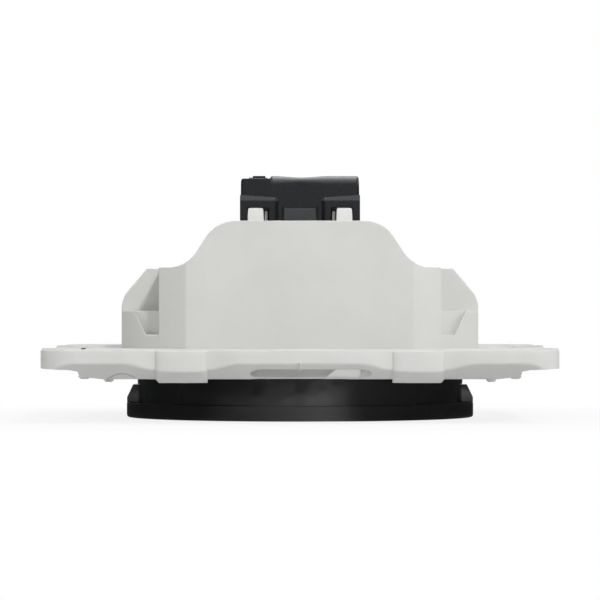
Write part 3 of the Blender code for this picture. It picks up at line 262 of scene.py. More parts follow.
add_node(tree, "ShaderNodeOutputMaterial", links={"Surface": lit.outputs[0]})

# Dark card: an even deep grey, which the rim shows as its dark sides.
grey_card = bpy.data.materials.new("grey_card")
tree = blank_tree(grey_card)
felt = add_node(tree, "ShaderNodeEmission", sockets={"Color": WHITE, "Strength": CARD_GREY})
add_node(tree, "ShaderNodeOutputMaterial", links={"Surface": felt.outputs[0]})

corners = [(x * SHEET_HALF, y * SHEET_HALF, SHEET_LEVEL) for x, y in SQUARE]
gloss_only("paper_sheet", corners, sheet)
sides = (-CARD_DISTANCE, CARD_DISTANCE)
for name, side, front in zip(("left_card", "right_card"), sides, CARD_FRONTS):
    low_edge = [(side, front, 0.0), (side, CARD_BACK, 0.0)]
    high_edge = [(side, CARD_BACK, CARD_HEIGHT), (side, front, CARD_HEIGHT)]
    gloss_only(name, low_edge + high_edge, grey_card)


# %% [markdown]
# ## The lamps
# The right side of every step is a little brighter than the left, and the tall block throws a short
# shadow on the left wing. So one small key lamp stands in front, to the right and above the camera, and
# two wide dim ones fill from the sides. Two panels overhead draw the light on the hood's rounded back and
# its sloping edges, so they show only in gloss, and the small key doesn't show there, where it would
# leave hot spots. Each lamp is set by how bright its face is, and its power follows from its area.

# %% Soft boxes
AIM_HEIGHT = 14.0 * MM


def soft_box(name, azimuth, elevation, distance, width, height, brightness):
    """A rectangular lamp that faces the object. Azimuth 0 is the camera's side and 90 is the right."""
    lamp = bpy.data.lights.new(name, "AREA")
    lamp.shape = "RECTANGLE"
    lamp.size = width
    lamp.size_y = height
    lamp.energy = brightness * math.pi * width * height
    turn, rise = math.radians(azimuth), math.radians(elevation)
    forward, upward = distance * math.cos(rise), distance * math.sin(rise)
    box = bpy.data.objects.new(name, lamp)
    box.location = (forward * math.sin(turn), -forward * math.cos(turn), AIM_HEIGHT + upward)
    box.rotation_euler = (math.pi / 2 - rise, 0, turn)
    box.visible_camera = False
    scene.collection.objects.link(box)
    print(name, "power", round(lamp.energy, 2), "W")
    return box


key = soft_box("key_box", 24, 41, 0.80, 0.09, 0.09, 122.0)
key.visible_glossy = False
soft_box("left_box", -80, 30, 0.80, 0.50, 0.50, 1.1)
soft_box("right_box", 85, 30, 0.80, 0.50, 0.50, 1.2)
back_panel = soft_box("back_panel", 180, 73, 0.70, 0.50, 0.80, 5.0)
top_panel = soft_box("top_panel", 0, 62, 0.70, 0.50, 0.34, 2.0)
for panel in (back_panel, top_panel):
    panel.visible_diffuse = False


# %% [markdown]
# ## Moulded plastics
# Almost everything here is injection moulded. Up close a moulded wall is never one flat colour: the melt
# leaves a faint mottle, and the spark-eroded tool leaves a fine even grain that breaks up the gloss. One
# function makes them all from a colour, a close second tone, a roughness and a grain. The grain of the
# real tool is near 0.1 mm, too fine to show at seven pixels to the millimetre, so it is drawn three times
# as coarse.

# %% Plastics
MOTTLE_SIZE = 9.0 * MM
CLOUD_SIZE = 1.6 * MM
CLOUD_SPREAD = 0.05  # how far the roughness wanders to either side
NOISE_LOW, NOISE_HIGH = 0.3, 0.7  # a noise node's values lie mostly between these


def linear(hex_colour):
    """An sRGB hex colour as linear red, green, blue and alpha."""
    channels = [int(hex_colour[start : start + 2], 16) / 255 for start in (1, 3, 5)]
    return (*(c / 12.92 if c <= 0.04045 else ((c + 0.055) / 1.055) ** 2.4 for c in channels), 1.0)


def new_finish(name):
    """A new material: itself, its node tree, its shader and the place on the object that its noises read."""
    finish = bpy.data.materials.new(name)
    finish.use_nodes = True
    tree = finish.node_tree
    place = add_node(tree, "ShaderNodeTexCoord").outputs["Object"]
    return finish, tree, tree.nodes["Principled BSDF"], place


def moulded(name, colour, tone, roughness, grain, relief, specular=0.5):
    """A moulded plastic: two close tones in a mottle, cloudy gloss, and the tool's grain as relief."""
    finish, tree, shader, place = new_finish(name)
    shader.inputs["Specular IOR Level"].default_value = specular
    broad = {"Scale": 1 / MOTTLE_SIZE, "Detail": 4.0, "Roughness": 0.6}
    mottle = add_node(tree, "ShaderNodeTexNoise", sockets=broad, links={"Vector": place})
    ramp = add_node(tree, "ShaderNodeValToRGB", links={"Fac": mottle.outputs[0]})
    for stop, shade, share in zip(ramp.color_ramp.elements, (tone, colour), (NOISE_LOW, NOISE_HIGH)):
        stop.color = linear(shade)
        stop.position = share
    tree.links.new(ramp.outputs[0], shader.inputs["Base Color"])
    middle = {"Scale": 1 / CLOUD_SIZE, "Detail": 2.0}
    cloud = add_node(tree, "ShaderNodeTexNoise", sockets=middle, links={"Vector": place})
    spread = {"From Min": NOISE_LOW, "From Max": NOISE_HIGH}
    spread |= {"To Min": roughness - CLOUD_SPREAD, "To Max": roughness + CLOUD_SPREAD}
    gloss = add_node(tree, "ShaderNodeMapRange", sockets=spread, links={"Value": cloud.outputs[0]})
    tree.links.new(gloss.outputs[0], shader.inputs["Roughness"])
    fine = {"Scale": 1 / grain, "Detail": 1.0}
    pits = add_node(tree, "ShaderNodeTexNoise", sockets=fine, links={"Vector": place})
    relief_sockets = {"Strength": 1.0, "Distance": relief}
    bump = add_node(tree, "ShaderNodeBump", sockets=relief_sockets, links={"Height": pits.outputs[0]})
    tree.links.new(bump.outputs[0], shader.inputs["Normal"])
    return finish


# Light grey ABS, spark-eroded: even and matt, with a faint warm tone.
grey_abs = moulded("light_grey_abs", "#D6D6D4", "#D0D0CD", 0.5, 0.30 * MM, 0.008 * MM, 0.05)
# Charcoal polycarbonate: semi-matt, so its edges and rounded back catch a cool light.
charcoal_pc = moulded("charcoal_polycarbonate", "#191B1E", "#16181B", 0.26, 0.28 * MM, 0.004 * MM, 0.26)
# Polished black ABS: nearly black and almost without grain, so that it shows one clear reflection.
black_abs = moulded("satin_black_abs", "#222326", "#1F2022", 0.05, 0.35 * MM, 0.0001 * MM, 0.42)
# Pale ABS: a whiter grade that stands out from the grey, for the cover lugs, pointer and plunger. On the
# walls in the bevel notches its paleness is painted light, a pool of light behind the bevel.
pale_abs = moulded("pale_abs", "#E7E7E4", "#E2E2DE", 0.45, 0.30 * MM, 0.006 * MM)
# Glass-filled polyamide: a drier, slightly cloudy black-grey, for switches, headers and chip bodies.
grey_nylon = moulded("dark_grey_polyamide", "#3A3B3E", "#313235", 0.55, 0.22 * MM, 0.012 * MM, 0.4)
# Red polyamide: a strong half-matt red that marks the positive pole and the programming button.
red_nylon = moulded("red_polyamide", "#B3241C", "#A01D17", 0.42, 0.26 * MM, 0.008 * MM, 0.4)
print("plastics:", grey_abs.name, charcoal_pc.name, black_abs.name)


# %% [markdown]
# ## Metals, boards and the clear lamp pipe
# Inside are stamped and turned metals, two green boards and a clear acrylic pipe. Metal takes fine
# drawing lines from rolling or turning: a noise that is stretched along one axis. A board is woven glass
# under green lacquer, so its weave shows faintly through the colour.

# %% Metals
ROLL_LINE = 0.08 * MM
ROLL_STRETCH = 0.04
STREAK_DULL = 0.08  # how much rougher the dark streaks are


def drawn_metal(name, colour, tone, roughness):
    """A rolled or turned metal: fine lines along X that vary its colour and its gloss."""
    finish, tree, shader, place = new_finish(name)
    shader.inputs["Metallic"].default_value = 1.0
    stretch = {"Scale": (ROLL_STRETCH, 1, 1)}
    lines = add_node(tree, "ShaderNodeMapping", sockets=stretch, links={"Vector": place})
    noise = {"Scale": 1 / ROLL_LINE, "Detail": 2.0}
    streak = add_node(tree, "ShaderNodeTexNoise", sockets=noise, links={"Vector": lines.outputs[0]})
    ramp = add_node(tree, "ShaderNodeValToRGB", links={"Fac": streak.outputs[0]})
    for stop, shade, share in zip(ramp.color_ramp.elements, (tone, colour), (NOISE_LOW, NOISE_HIGH)):
        stop.color = linear(shade)
        stop.position = share
    tree.links.new(ramp.outputs[0], shader.inputs["Base Color"])
    spread = {"From Min": NOISE_LOW, "From Max": NOISE_HIGH}
    spread |= {"To Min": roughness + STREAK_DULL, "To Max": roughness}
    gloss = add_node(tree, "ShaderNodeMapRange", sockets=spread, links={"Value": streak.outputs[0]})
    tree.links.new(gloss.outputs[0], shader.inputs["Roughness"])
    return finish


# Zinc-plated steel: a bright, slightly cool grey with soft lines.
zinc_steel = drawn_metal("zinc_plated_steel", "#D3D4D3", "#BFC1C2", 0.3)
# Tinned brass: silvery, with a warm tint of the brass below.
tinned_brass = drawn_metal("tinned_brass", "#DCD3B8", "#C9BC98", 0.28)
# Aluminium cans: lighter and smoother than the steel.
bright_can = drawn_metal("aluminium_can", "#DADBDC", "#C8CACC", 0.24)
print("metals:", zinc_steel.name, tinned_brass.name, bright_can.name)


# %% Board laminate
# Woven glass under green lacquer: a smooth green with a faint check of threads.
WEAVE_PITCH = 0.5 * MM
board_laminate, tree, shader, place = new_finish("green_glass_laminate")
shader.inputs["Roughness"].default_value = 0.35
threads = {"Scale": 1 / WEAVE_PITCH, "Color1": linear("#1F5A34"), "Color2": linear("#24623A")}
weave = add_node(tree, "ShaderNodeTexChecker", sockets=threads, links={"Vector": place})
tree.links.new(weave.outputs["Color"], shader.inputs["Base Color"])
relief = {"Strength": 0.4, "Distance": 0.004 * MM}
bump = add_node(tree, "ShaderNodeBump", sockets=relief, links={"Height": weave.outputs[1]})
tree.links.new(bump.outputs[0], shader.inputs["Normal"])
print("laminate:", board_laminate.name)


# %% Clear acrylic
# Clear acrylic: half clear and glossy, so that it looks like a drop of water in the grey wall.
FLOW_SIZE = 1.2 * MM
clear_acrylic, tree, shader, place = new_finish("clear_acrylic")
shader.inputs["IOR"].default_value = 1.49
shader.inputs["Transmission Weight"].default_value = 0.5
broad = {"Scale": 1 / FLOW_SIZE, "Detail": 2.0}
flow = add_node(tree, "ShaderNodeTexNoise", sockets=broad, links={"Vector": place})
ramp = add_node(tree, "ShaderNodeValToRGB", links={"Fac": flow.outputs[0]})
for stop, shade in zip(ramp.color_ramp.elements, ("#DCDDD8", "#F1F1EC")):
    stop.color = linear(shade)
tree.links.new(ramp.outputs[0], shader.inputs["Base Color"])
spread = {"From Min": NOISE_LOW, "From Max": NOISE_HIGH, "To Min": 0.08, "To Max": 0.16}
gloss = add_node(tree, "ShaderNodeMapRange", sockets=spread, links={"Value": flow.outputs[0]})
tree.links.new(gloss.outputs[0], shader.inputs["Roughness"])
print("acrylic:", clear_acrylic.name)


# %% [markdown]
# ## From outlines to solids
# Moulded pieces are mostly one outline that changes a little from level to level, so most shapes here are
# lofts: a row of rings with the same number of points, skinned and closed. An edge that is drawn with
# three or four rings is a real fillet, which is what makes a plastic edge catch the light. What a loft
# can't give is cut or joined with an exact boolean, and every result is made a plain mesh at once.

# %% Loft, join and cut
def make_object(name, points, faces):
    """A closed shape at the origin, from points in millimetres."""
    mesh = bpy.data.meshes.new(name)
    mesh.from_pydata([tuple(value * MM for value in point) for point in points], [], faces)
    shape = bmesh.new()
    shape.from_mesh(mesh)
    bmesh.ops.remove_doubles(shape, verts=shape.verts, dist=0.0002 * MM)
    bmesh.ops.recalc_face_normals(shape, faces=shape.faces)
    shape.to_mesh(mesh)
    shape.free()
    return link_mesh(name, mesh)


def loft(name, rings):
    """Skins rings of equal length and closes both ends."""
    count = len(rings[0])
    faces = []
    for level in range(len(rings) - 1):
        first, second = level * count, (level + 1) * count
        for here in range(count):
            there = (here + 1) % count
            faces.append((first + here, first + there, second + there, second + here))
    last = (len(rings) - 1) * count
    faces.append(tuple(reversed(range(count))))
    faces.append(tuple(range(last, last + count)))
    return make_object(name, [point for ring in rings for point in ring], faces)


# %% Join, cut and soften
def bake(piece):
    """Makes what the modifiers give the piece's own plain mesh."""
    evaluated = piece.evaluated_get(bpy.context.evaluated_depsgraph_get())
    mesh = bpy.data.meshes.new_from_object(evaluated)
    piece.modifiers.clear()
    piece.data = mesh


def combine(piece, operation, *tools):
    """Joins tools to a piece (UNION), cuts them out (DIFFERENCE) or keeps what is shared (INTERSECT)."""
    for tool in tools:
        modifier = piece.modifiers.new(tool.name, "BOOLEAN")
        modifier.operation = operation
        modifier.object = tool
        modifier.solver = "EXACT"
    bake(piece)
    for tool in tools:
        bpy.data.objects.remove(tool)


def gather(name, parts):
    """One object from several that don't touch, so that one boolean takes them all."""
    shape = bmesh.new()
    for part in parts:
        shape.from_mesh(part.data)
        bpy.data.objects.remove(part)
    mesh = bpy.data.meshes.new(name)
    shape.to_mesh(mesh)
    shape.free()
    return link_mesh(name, mesh)


def soften(piece, width, segments=3, angle=40):
    """Rounds every edge that turns more than an angle."""
    modifier = piece.modifiers.new("moulded edge", "BEVEL")
    modifier.width = width * MM
    modifier.segments = segments
    modifier.limit_method = "ANGLE"
    modifier.angle_limit = math.radians(angle)
    modifier.use_clamp_overlap = False
    bake(piece)
    return piece


def open_edges(piece):
    """How many edges don't join exactly two faces: none, where a solid is closed."""
    shape = bmesh.new()
    shape.from_mesh(piece.data)
    count = sum(1 for edge in shape.edges if len(edge.link_faces) != 2)
    shape.free()
    return count


# %% Finish a piece
SHARP_ANGLE = math.radians(29)


def close_pinholes(piece):
    """Fills the tiny triangles that a cut can leave open."""
    shape = bmesh.new()
    shape.from_mesh(piece.data)
    rims = [edge for edge in shape.edges if len(edge.link_faces) == 1]
    bmesh.ops.holes_fill(shape, edges=rims, sides=4)
    shape.to_mesh(piece.data)
    shape.free()


def seat(piece, finish, body, slot, *nodes):
    """Shades and paints a finished piece, hangs it on its body, and lets it stand for its CAD nodes."""
    close_pinholes(piece)
    mesh = piece.data
    mesh.materials.clear()
    mesh.materials.append(finish)
    for face in mesh.polygons:
        face.material_index = 0
    mesh.shade_smooth()
    mesh.set_sharp_from_angle(angle=SHARP_ANGLE)
    even = piece.modifiers.new("even shading", "WEIGHTED_NORMAL")
    even.keep_sharp = True
    bake(piece)
    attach(piece, body)
    if nodes:
        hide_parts(*nodes)
    print(piece.name, len(piece.data.polygons), "faces,", open_edges(piece), "open edges")


# %% Outlines
CORNERS = ((1, 1), (-1, 1), (-1, -1), (1, -1))  # the signs of X and Y in each quarter, anticlockwise
PAST = 2.0  # how far a cutter reaches past what it cuts


def arc(radius, turns, centre=(0.0, 0.0)):
    """Points on a circle, one for each angle."""
    return [(centre[0] + radius * math.cos(a), centre[1] + radius * math.sin(a)) for a in turns]


def circle(radius, centre=(0.0, 0.0), steps=48):
    """A whole circle, anticlockwise."""
    return arc(radius, np.linspace(0, 2 * math.pi, steps, endpoint=False), centre)


def rounded_rectangle(half_x, half_y, radius, centre=(0.0, 0.0), steps=8):
    """A rectangle with round corners, from its half sizes."""
    points = []
    for quarter, (sign_x, sign_y) in enumerate(CORNERS):
        middle = (centre[0] + sign_x * (half_x - radius), centre[1] + sign_y * (half_y - radius))
        turns = np.linspace(quarter * math.pi / 2, (quarter + 1) * math.pi / 2, steps)
        points += arc(radius, turns, middle)
    return points


def growing_circle(radius, centre=(0.0, 0.0), steps=28):
    """A circle that can grow by an offset."""
    return lambda offset: circle(radius + offset, centre, steps)


def growing_rectangle(half_x, half_y, radius, centre=(0.0, 0.0), steps=8):
    """A rectangle with round corners that can grow by an offset."""
    return lambda offset: rounded_rectangle(half_x + offset, half_y + offset, radius + offset, centre, steps)


def prism(name, outline, levels):
    """A loft of the same outline at each level."""
    return loft(name, [[(x, y, z) for x, y in outline] for z in levels])


def flared(name, outline_at, levels):
    """A loft of an outline that grows by an offset at each level."""
    return loft(name, [[(x, y, z) for x, y in outline_at(offset)] for z, offset in levels])


def block_cutter(name, low_corner, high_corner):
    """A plain block between two corners."""
    (x0, y0, z0), (x1, y1, z1) = low_corner, high_corner
    return prism(name, [(x0, y0), (x1, y0), (x1, y1), (x0, y1)], (z0, z1))


# %% [markdown]
# ## The frame's rim
# The frame is one moulding with a scalloped edge: beside each snap lug the edge steps back in a soft S.
# Below, its long sides are bevelled at 45 degrees, and the wall runs into the bevel through a soft
# rounding. So the rim is a loft. Each ring is the same outline, limited by how far the bevel lets it out
# at that level. A soft minimum, instead of a plain one, gives the rounding.

# %% Rim
frame_high = cad_box("support_frame")[1]
FRAME_BACK = frame_high.z
FRAME_FRONT = FRAME_BACK - 4.0
RIM_X = frame_high.x
RIM_Y = frame_high.y - 0.3
CORNER = 5.0
LUG_AT = 16.0
LUG_HALF = 3.5
LUG_SPACE = 0.2  # how far the scallop stays at its deepest beside a lug
SCALLOP = 0.8
SCALLOP_RUN = 4.1
SIDE_RELIEF = 0.5
BEVEL_TOP = FRAME_FRONT + 2.1
MARGIN_BEVEL_TOP = FRAME_FRONT + 1.52
ROUNDING = 0.18
FRONT_FILLET = 0.25
BACK_FILLET = 0.3
SIDE_STEPS = 64


def s_curve(value):
    """A soft step from 0 to 1, while the value goes from 0 to 1."""
    value = min(max(value, 0.0), 1.0)
    return value * value * (3 - 2 * value)


def soft_min(first, second, blend=ROUNDING):
    """The smaller of two numbers, with a smooth change over where they cross."""
    near = max(blend - abs(first - second), 0.0) / blend
    return min(first, second) - near * near * blend / 4


def fillet_inset(distance, radius):
    """How far a rounded edge lies inside the face, at a distance from the edge's end."""
    if distance >= radius:
        return 0.0
    return radius - math.sqrt(max(radius**2 - (radius - distance) ** 2, 0.0))


def scallop(along):
    """How far the edge steps back at a place along it, most beside a lug."""
    beside = abs(abs(along) - LUG_AT) - LUG_HALF - LUG_SPACE
    return SCALLOP * (1 - s_curve(beside / SCALLOP_RUN))


def side_relief(along):
    """How much further in a side edge lies between its two lugs."""
    return SIDE_RELIEF * (1 - s_curve((abs(along) - LUG_AT - LUG_HALF) / SCALLOP_RUN))


def all_round(quarter):
    """A whole outline from the quarter that runs from the +X axis to the +Y axis."""
    upper = quarter + [(-x, y) for x, y in reversed(quarter[:-1])]
    return upper + [(x, -y) for x, y in reversed(upper[1:-1])]


def rim_outline():
    """The frame's scalloped outline at its widest."""
    side = [(RIM_X - side_relief(y) - scallop(y), y) for y in np.linspace(0, RIM_Y - CORNER, SIDE_STEPS)]
    turns = np.linspace(0, math.pi / 2, 16)[1:-1]
    corner = arc(CORNER, turns, (RIM_X - CORNER, RIM_Y - CORNER))
    end = [(x, RIM_Y - scallop(x)) for x in np.linspace(RIM_X - CORNER, 0, SIDE_STEPS)]
    return all_round(side + corner + end)


def outward(outline):
    """The outward direction at each point of an outline that runs anticlockwise."""
    points = np.array(outline)
    along = np.roll(points, -1, axis=0) - np.roll(points, 1, axis=0)
    along /= np.linalg.norm(along, axis=1)[:, None]
    return np.stack([along[:, 1], -along[:, 0]], axis=1)


def bevel_reach(level):
    """How far out the bevels let the frame reach in X and Y at a level."""
    front = fillet_inset(level - FRAME_FRONT, FRONT_FILLET)
    return RIM_X + level - MARGIN_BEVEL_TOP - front, RIM_Y + level - BEVEL_TOP - front


rim_levels = [FRAME_FRONT + step for step in (0, 0.03, 0.08, 0.15, 0.25, 0.45, 0.65)]
rim_levels += list(np.arange(FRAME_FRONT + 0.8, FRAME_FRONT + 2.75, 0.1))
rim_levels += [FRAME_BACK - step for step in (0.9, 0.3, 0.2, 0.1, 0.04, 0)]
outline = rim_outline()
directions = outward(outline)
rings = []
for level in rim_levels:
    reach_x, reach_y = bevel_reach(level)
    inset = fillet_inset(FRAME_BACK - level, BACK_FILLET)
    ring = []
    for (x, y), (across, up) in zip(outline, directions):
        x, y = x - inset * across, y - inset * up
        held_x = math.copysign(soft_min(abs(x), reach_x), x)
        held_y = math.copysign(soft_min(abs(y), reach_y), y)
        ring.append((held_x, held_y, level))
    rings.append(ring)
frame_body = loft("frame_moulding", rings)
print("rim:", len(rings), "rings of", len(outline), "points")


# %% [markdown]
# ## Snap lugs, margins and the ejector mark
# Four lugs with a crowned face stand in the scallops and hold the cover plate. They reach a little
# further forward than the frame, so they show below it. Along both sides the frame is thinner, and on the
# near bevel one ejector pin left a thin round line. The lugs are joined to the rim, and the rest is cut
# from it.

# %% Lugs
LUG_CROWN = 1.1
LUG_FRONT = FRAME_FRONT - 0.5
LUG_BACK = FRAME_BACK - 0.2
LUG_ROOT = 31.2
LUG_BEVEL_TOP = FRAME_FRONT + 1.25
LUG_SAG = 0.25  # how much lower the bevel starts in the middle of a lug
LUG_FILLET = 0.2
LUG_SLANT = 0.9  # how far the outer front corner comes in for each millimetre past the frame

lug_levels = [LUG_FRONT + step for step in (0, 0.02, 0.06, 0.12, 0.2, 0.45, 0.7)]
lug_levels += list(np.arange(LUG_FRONT + 0.9, LUG_FRONT + 2.35, 0.1))
lug_levels += [LUG_BACK - step for step in (0.8, 0.2, 0.1, 0.03, 0)]


def snap_lug(sign_x, sign_y):
    """A lug with a crowned face. Its bevel follows the crown, and its outer front corner slants."""
    wall = RIM_Y - SCALLOP
    turns = np.linspace(0, math.pi, 33)
    crown = [(LUG_AT + LUG_HALF * math.cos(a), wall + LUG_CROWN * math.sin(a)) for a in turns]
    rings = []
    for level in lug_levels:
        ends = fillet_inset(level - LUG_FRONT, LUG_FILLET) + fillet_inset(LUG_BACK - level, LUG_FILLET)
        outer = LUG_AT + LUG_HALF - LUG_SLANT * max(FRAME_FRONT - level, 0.0)
        ring = []
        for x, y in crown:
            below = LUG_BEVEL_TOP - LUG_SAG * (y - wall) / LUG_CROWN - level
            ring.append((min(x, outer), y - ends - below + soft_min(below, 0.0), level))
        ring += [(LUG_AT - LUG_HALF, LUG_ROOT, level), (outer, LUG_ROOT, level)]
        rings.append([(sign_x * x, sign_y * y, z) for x, y, z in ring])
    return loft("snap lug", rings)


combine(frame_body, "UNION", gather("snap lugs", [snap_lug(*signs) for signs in CORNERS]))
print("frame with lugs:", len(frame_body.data.polygons), "faces")


# %% Thin margins and the ejector mark
BEYOND = 45.0  # past the object on every side
MARGIN_EDGE = 29.75
MARGIN_STEP = MARGIN_EDGE + 0.2
MARGIN_KNEE = 31.0  # where the steep step turns into the flatter margin
MARGIN_DEPTH = 1.04
RAMP_START = 26.6
RAMP_END = 28.6
RAMP_DEPTH = 0.22
EJECTOR_AT = (-24.0, -31.0)
EJECTOR_RADIUS = 2.76
EJECTOR_LINE = 0.2
EJECTOR_DEPTH = 0.35
EJECTOR_STEPS = 72


def margin_cutter(side):
    """What is taken off the front along one side: a short ramp and then a steep step."""
    low, ramp, step = FRAME_FRONT - PAST, FRAME_FRONT + RAMP_DEPTH, FRAME_FRONT + MARGIN_DEPTH
    ramp_edge = [(RAMP_START, FRAME_FRONT), (RAMP_END, ramp), (MARGIN_EDGE, ramp)]
    step_edge = [(MARGIN_STEP, step), (MARGIN_KNEE, step + 0.2), (BEYOND, step + 0.75)]
    outline = [(RAMP_START, low)] + ramp_edge + step_edge + [(BEYOND, low)]
    return loft("margin", [[(side * x, y, z) for x, z in outline] for y in (-BEYOND, BEYOND)])


# A column that ends just above the near bevel, less its core, leaves a ring that marks the bevel's surface.
ring = circle(EJECTOR_RADIUS, EJECTOR_AT, EJECTOR_STEPS)
foot = [(x, y, FRAME_FRONT - 1.0) for x, y in ring]
head = [(x, y, max(FRAME_FRONT, BEVEL_TOP - RIM_Y + abs(y)) + EJECTOR_DEPTH) for x, y in ring]
mark = loft("ejector mark", [foot, head])
core = circle(EJECTOR_RADIUS - EJECTOR_LINE, EJECTOR_AT, EJECTOR_STEPS)
combine(mark, "DIFFERENCE", prism("core", core, (FRAME_FRONT - PAST, FRAME_BACK)))
margins = gather("margins", [margin_cutter(side) for side in (-1, 1)])
combine(frame_body, "DIFFERENCE", margins, mark)
print("frame with lugs and margins:", len(frame_body.data.polygons), "faces")


# %% [markdown]
# ## Holes in the frame
# Curved slots on the 60 mm circle take the box screws, with a sunk seat for each head in front. Small
# holes let two frames be coupled. Every mouth has a small chamfer, as a moulded or stamped hole has, so
# each cutter is a loft that flares where it leaves the frame. Cutters that don't touch are gathered, so a
# few booleans do them all.

# %% Levels and outlines of the holes
FIXING_RADIUS = 30.0
MOUTH = 0.22


def sunk_levels(front, floor):
    """Levels of a blind hole from the front, with a chamfer at its mouth."""
    return [(front - PAST, MOUTH), (front, MOUTH), (front + MOUTH, 0), (floor, 0)]


def through_levels(front, back):
    """Levels of a through hole, with a chamfer at each mouth."""
    return sunk_levels(front, back - MOUTH) + [(back, MOUTH), (back + PAST, MOUTH)]


def curved_slot(heading, half_width, sweep):
    """A slot that follows a circle round the middle, by its heading, and can grow by an offset."""
    start, end = heading - sweep, heading + sweep
    turns = np.linspace(start, end, 12)
    bends = np.linspace(0, math.pi, 10)[1:-1]
    near, far = arc(FIXING_RADIUS, (start, end))

    def outline_at(offset):
        half = half_width + offset
        outer = arc(FIXING_RADIUS + half, turns)
        inner = arc(FIXING_RADIUS - half, turns[::-1])
        return outer + arc(half, end + bends, far) + inner + arc(-half, start + bends, near)

    return outline_at


# %% Slots, seats and holes
DIAL_OPENING = 23.85
DIAL_LEDGE = 1.5  # what stays of the frame's thickness behind the dial
LEDGE_OPENING = 16.5
SLOT_HALF = 1.8
SLOT_SWEEP = math.radians(11)
SEAT_ROOF = FRAME_FRONT + 1.4
SEAT_CORNER = 1.6
SEATS = ((4.3, 7.3, FIXING_RADIUS), (7.3, 3.5, 29.2))  # half sizes and distance, at the sides and the ends
SCREW_AT = 13.435  # where the carrier screws stand, in X and in Y
SCREW_WAY = 1.4
HOLES = (("coupling", 1.1, (FIXING_RADIUS, 18.0)), ("screw way", SCREW_WAY, (SCREW_AT, SCREW_AT)))
NOTCH_ENDS = (-4.85, 7.8)  # where the ovals at the notch's ends have their middles
NOTCH_TURNS = ((235, 90), (90, -55))  # which part of each oval is drawn
NOTCH_LEVEL = FRAME_FRONT + 0.74
NOTCH_OVAL = (1.87, 0.62)
NOTCH_OUT = 40.0
NOTCH_DEPTH = 30.0
# The latch named beside NOTCH_STOP is the pale notch wall, whose paleness is a painted pool of light.
NOTCH_STOP = 8.0  # where the deep part ends, beside the latch
NOTCH_SHALLOW = RIM_Y - 1.9


def bevel_notch(sign):
    """A long notch in the bevel with oval ends, open to the head seat behind it, over a thin lip."""
    outline = []
    for middle, (start, end) in zip(NOTCH_ENDS, NOTCH_TURNS):
        for a in np.linspace(math.radians(start), math.radians(end), 16):
            across, up = NOTCH_OVAL[0] * math.cos(a), NOTCH_OVAL[1] * math.sin(a)
            outline.append((middle + across, NOTCH_LEVEL + up))
    deep = [(min(x, NOTCH_STOP), z) for x, z in outline]
    parts = []
    for points, depth in ((deep, NOTCH_DEPTH), (outline, NOTCH_SHALLOW)):
        rings = [[(-sign * x, sign * y, z) for x, z in points] for y in (depth, NOTCH_OUT)]
        parts.append(loft("notch", rings))
    return parts


frame_through = through_levels(FRAME_FRONT, FRAME_BACK)
dial_floor = sunk_levels(FRAME_FRONT, FRAME_BACK - DIAL_LEDGE)
front_cutters = [flared("dial opening", growing_circle(DIAL_OPENING, steps=120), dial_floor)]
through_cutters = [flared("ledge", growing_circle(LEDGE_OPENING, steps=96), frame_through)]
for number in range(4):
    heading = number * math.pi / 2
    half_x, half_y, distance = SEATS[number % 2]
    (middle,) = arc(distance, (heading,))
    head_seat = growing_rectangle(half_x, half_y, SEAT_CORNER, middle)
    front_cutters.append(flared("head seat", head_seat, sunk_levels(FRAME_FRONT, SEAT_ROOF)))
    through_cutters.append(flared("slot", curved_slot(heading, SLOT_HALF, SLOT_SWEEP), frame_through))
for sign_x, sign_y in CORNERS:
    for name, radius, (x, y) in HOLES:
        hole = growing_circle(radius, (sign_x * x, sign_y * y))
        through_cutters.append(flared(name, hole, frame_through))
deep_notches, shallow_notches = zip(*(bevel_notch(sign) for sign in (-1, 1)))
notches = gather("bevel notches", deep_notches)
shallows = gather("notch ends", shallow_notches)
through = gather("through cutters", through_cutters)
combine(frame_body, "DIFFERENCE", gather("front cutters", front_cutters), notches, shallows, through)
print("frame with its holes:", len(frame_body.data.polygons), "faces")


# %% Rebate and centre marks
housing_low, housing_high = cad_box("rear_housing")
HOUSING_RADIUS = 28.5
HOUSING_HALF_X = housing_high.x
HOUSING_HALF_Y = housing_high.y
REBATE_DEPTH = 0.5
REBATE_PLAY = 0.02
MARK_ROOT = 0.3
# A mark's cross sections: how far over the bevel's top, how high and how wide to either side.
MARK_SECTIONS = ((0.3, 0.02, 0.2), (0.1, 0.24, 0.34), (-0.45, 0.34, 0.26), (-0.9, 0.2, 0.12))


def housing_plan(offset):
    """The housing's plan, a circle with four flats, moved out by an offset."""
    radius, half_x, half_y = HOUSING_RADIUS + offset, HOUSING_HALF_X + offset, HOUSING_HALF_Y + offset
    quarter = arc(radius, np.linspace(math.acos(half_x / radius), math.asin(half_y / radius), 16))
    upper = quarter + [(-x, y) for x, y in reversed(quarter)]
    return upper + [(-x, -y) for x, y in upper]


def centre_mark(sign):
    """A small raised V on the bevel that marks the middle."""
    rings = []
    for up, tall, half in MARK_SECTIONS:
        surface = RIM_Y + min(up, 0.0)
        root = surface - MARK_ROOT
        ring = [(-half, root), (half, root), (half, surface), (0.0, surface + tall), (-half, surface)]
        rings.append([(x, sign * y, BEVEL_TOP + up) for x, y in ring])
    return loft("centre mark", rings)


rebate_levels = (FRAME_BACK - REBATE_DEPTH, FRAME_BACK + PAST)
combine(frame_body, "DIFFERENCE", prism("rebate", housing_plan(REBATE_PLAY), rebate_levels))
combine(frame_body, "UNION", gather("centre marks", [centre_mark(sign) for sign in (-1, 1)]))
print("frame with rebate and marks:", len(frame_body.data.polygons), "faces")


# %% [markdown]
# ## Coupling lips
# Frames stand side by side. On the back of each side edge low lips meet the neighbour's edge: one along
# the middle, and one at the near corner. They are about 0.2 mm high at most, and show as a small step in
# the outline. A lip follows the scalloped edge and slopes down inwards, so it is a loft of small cross
# sections along Y.

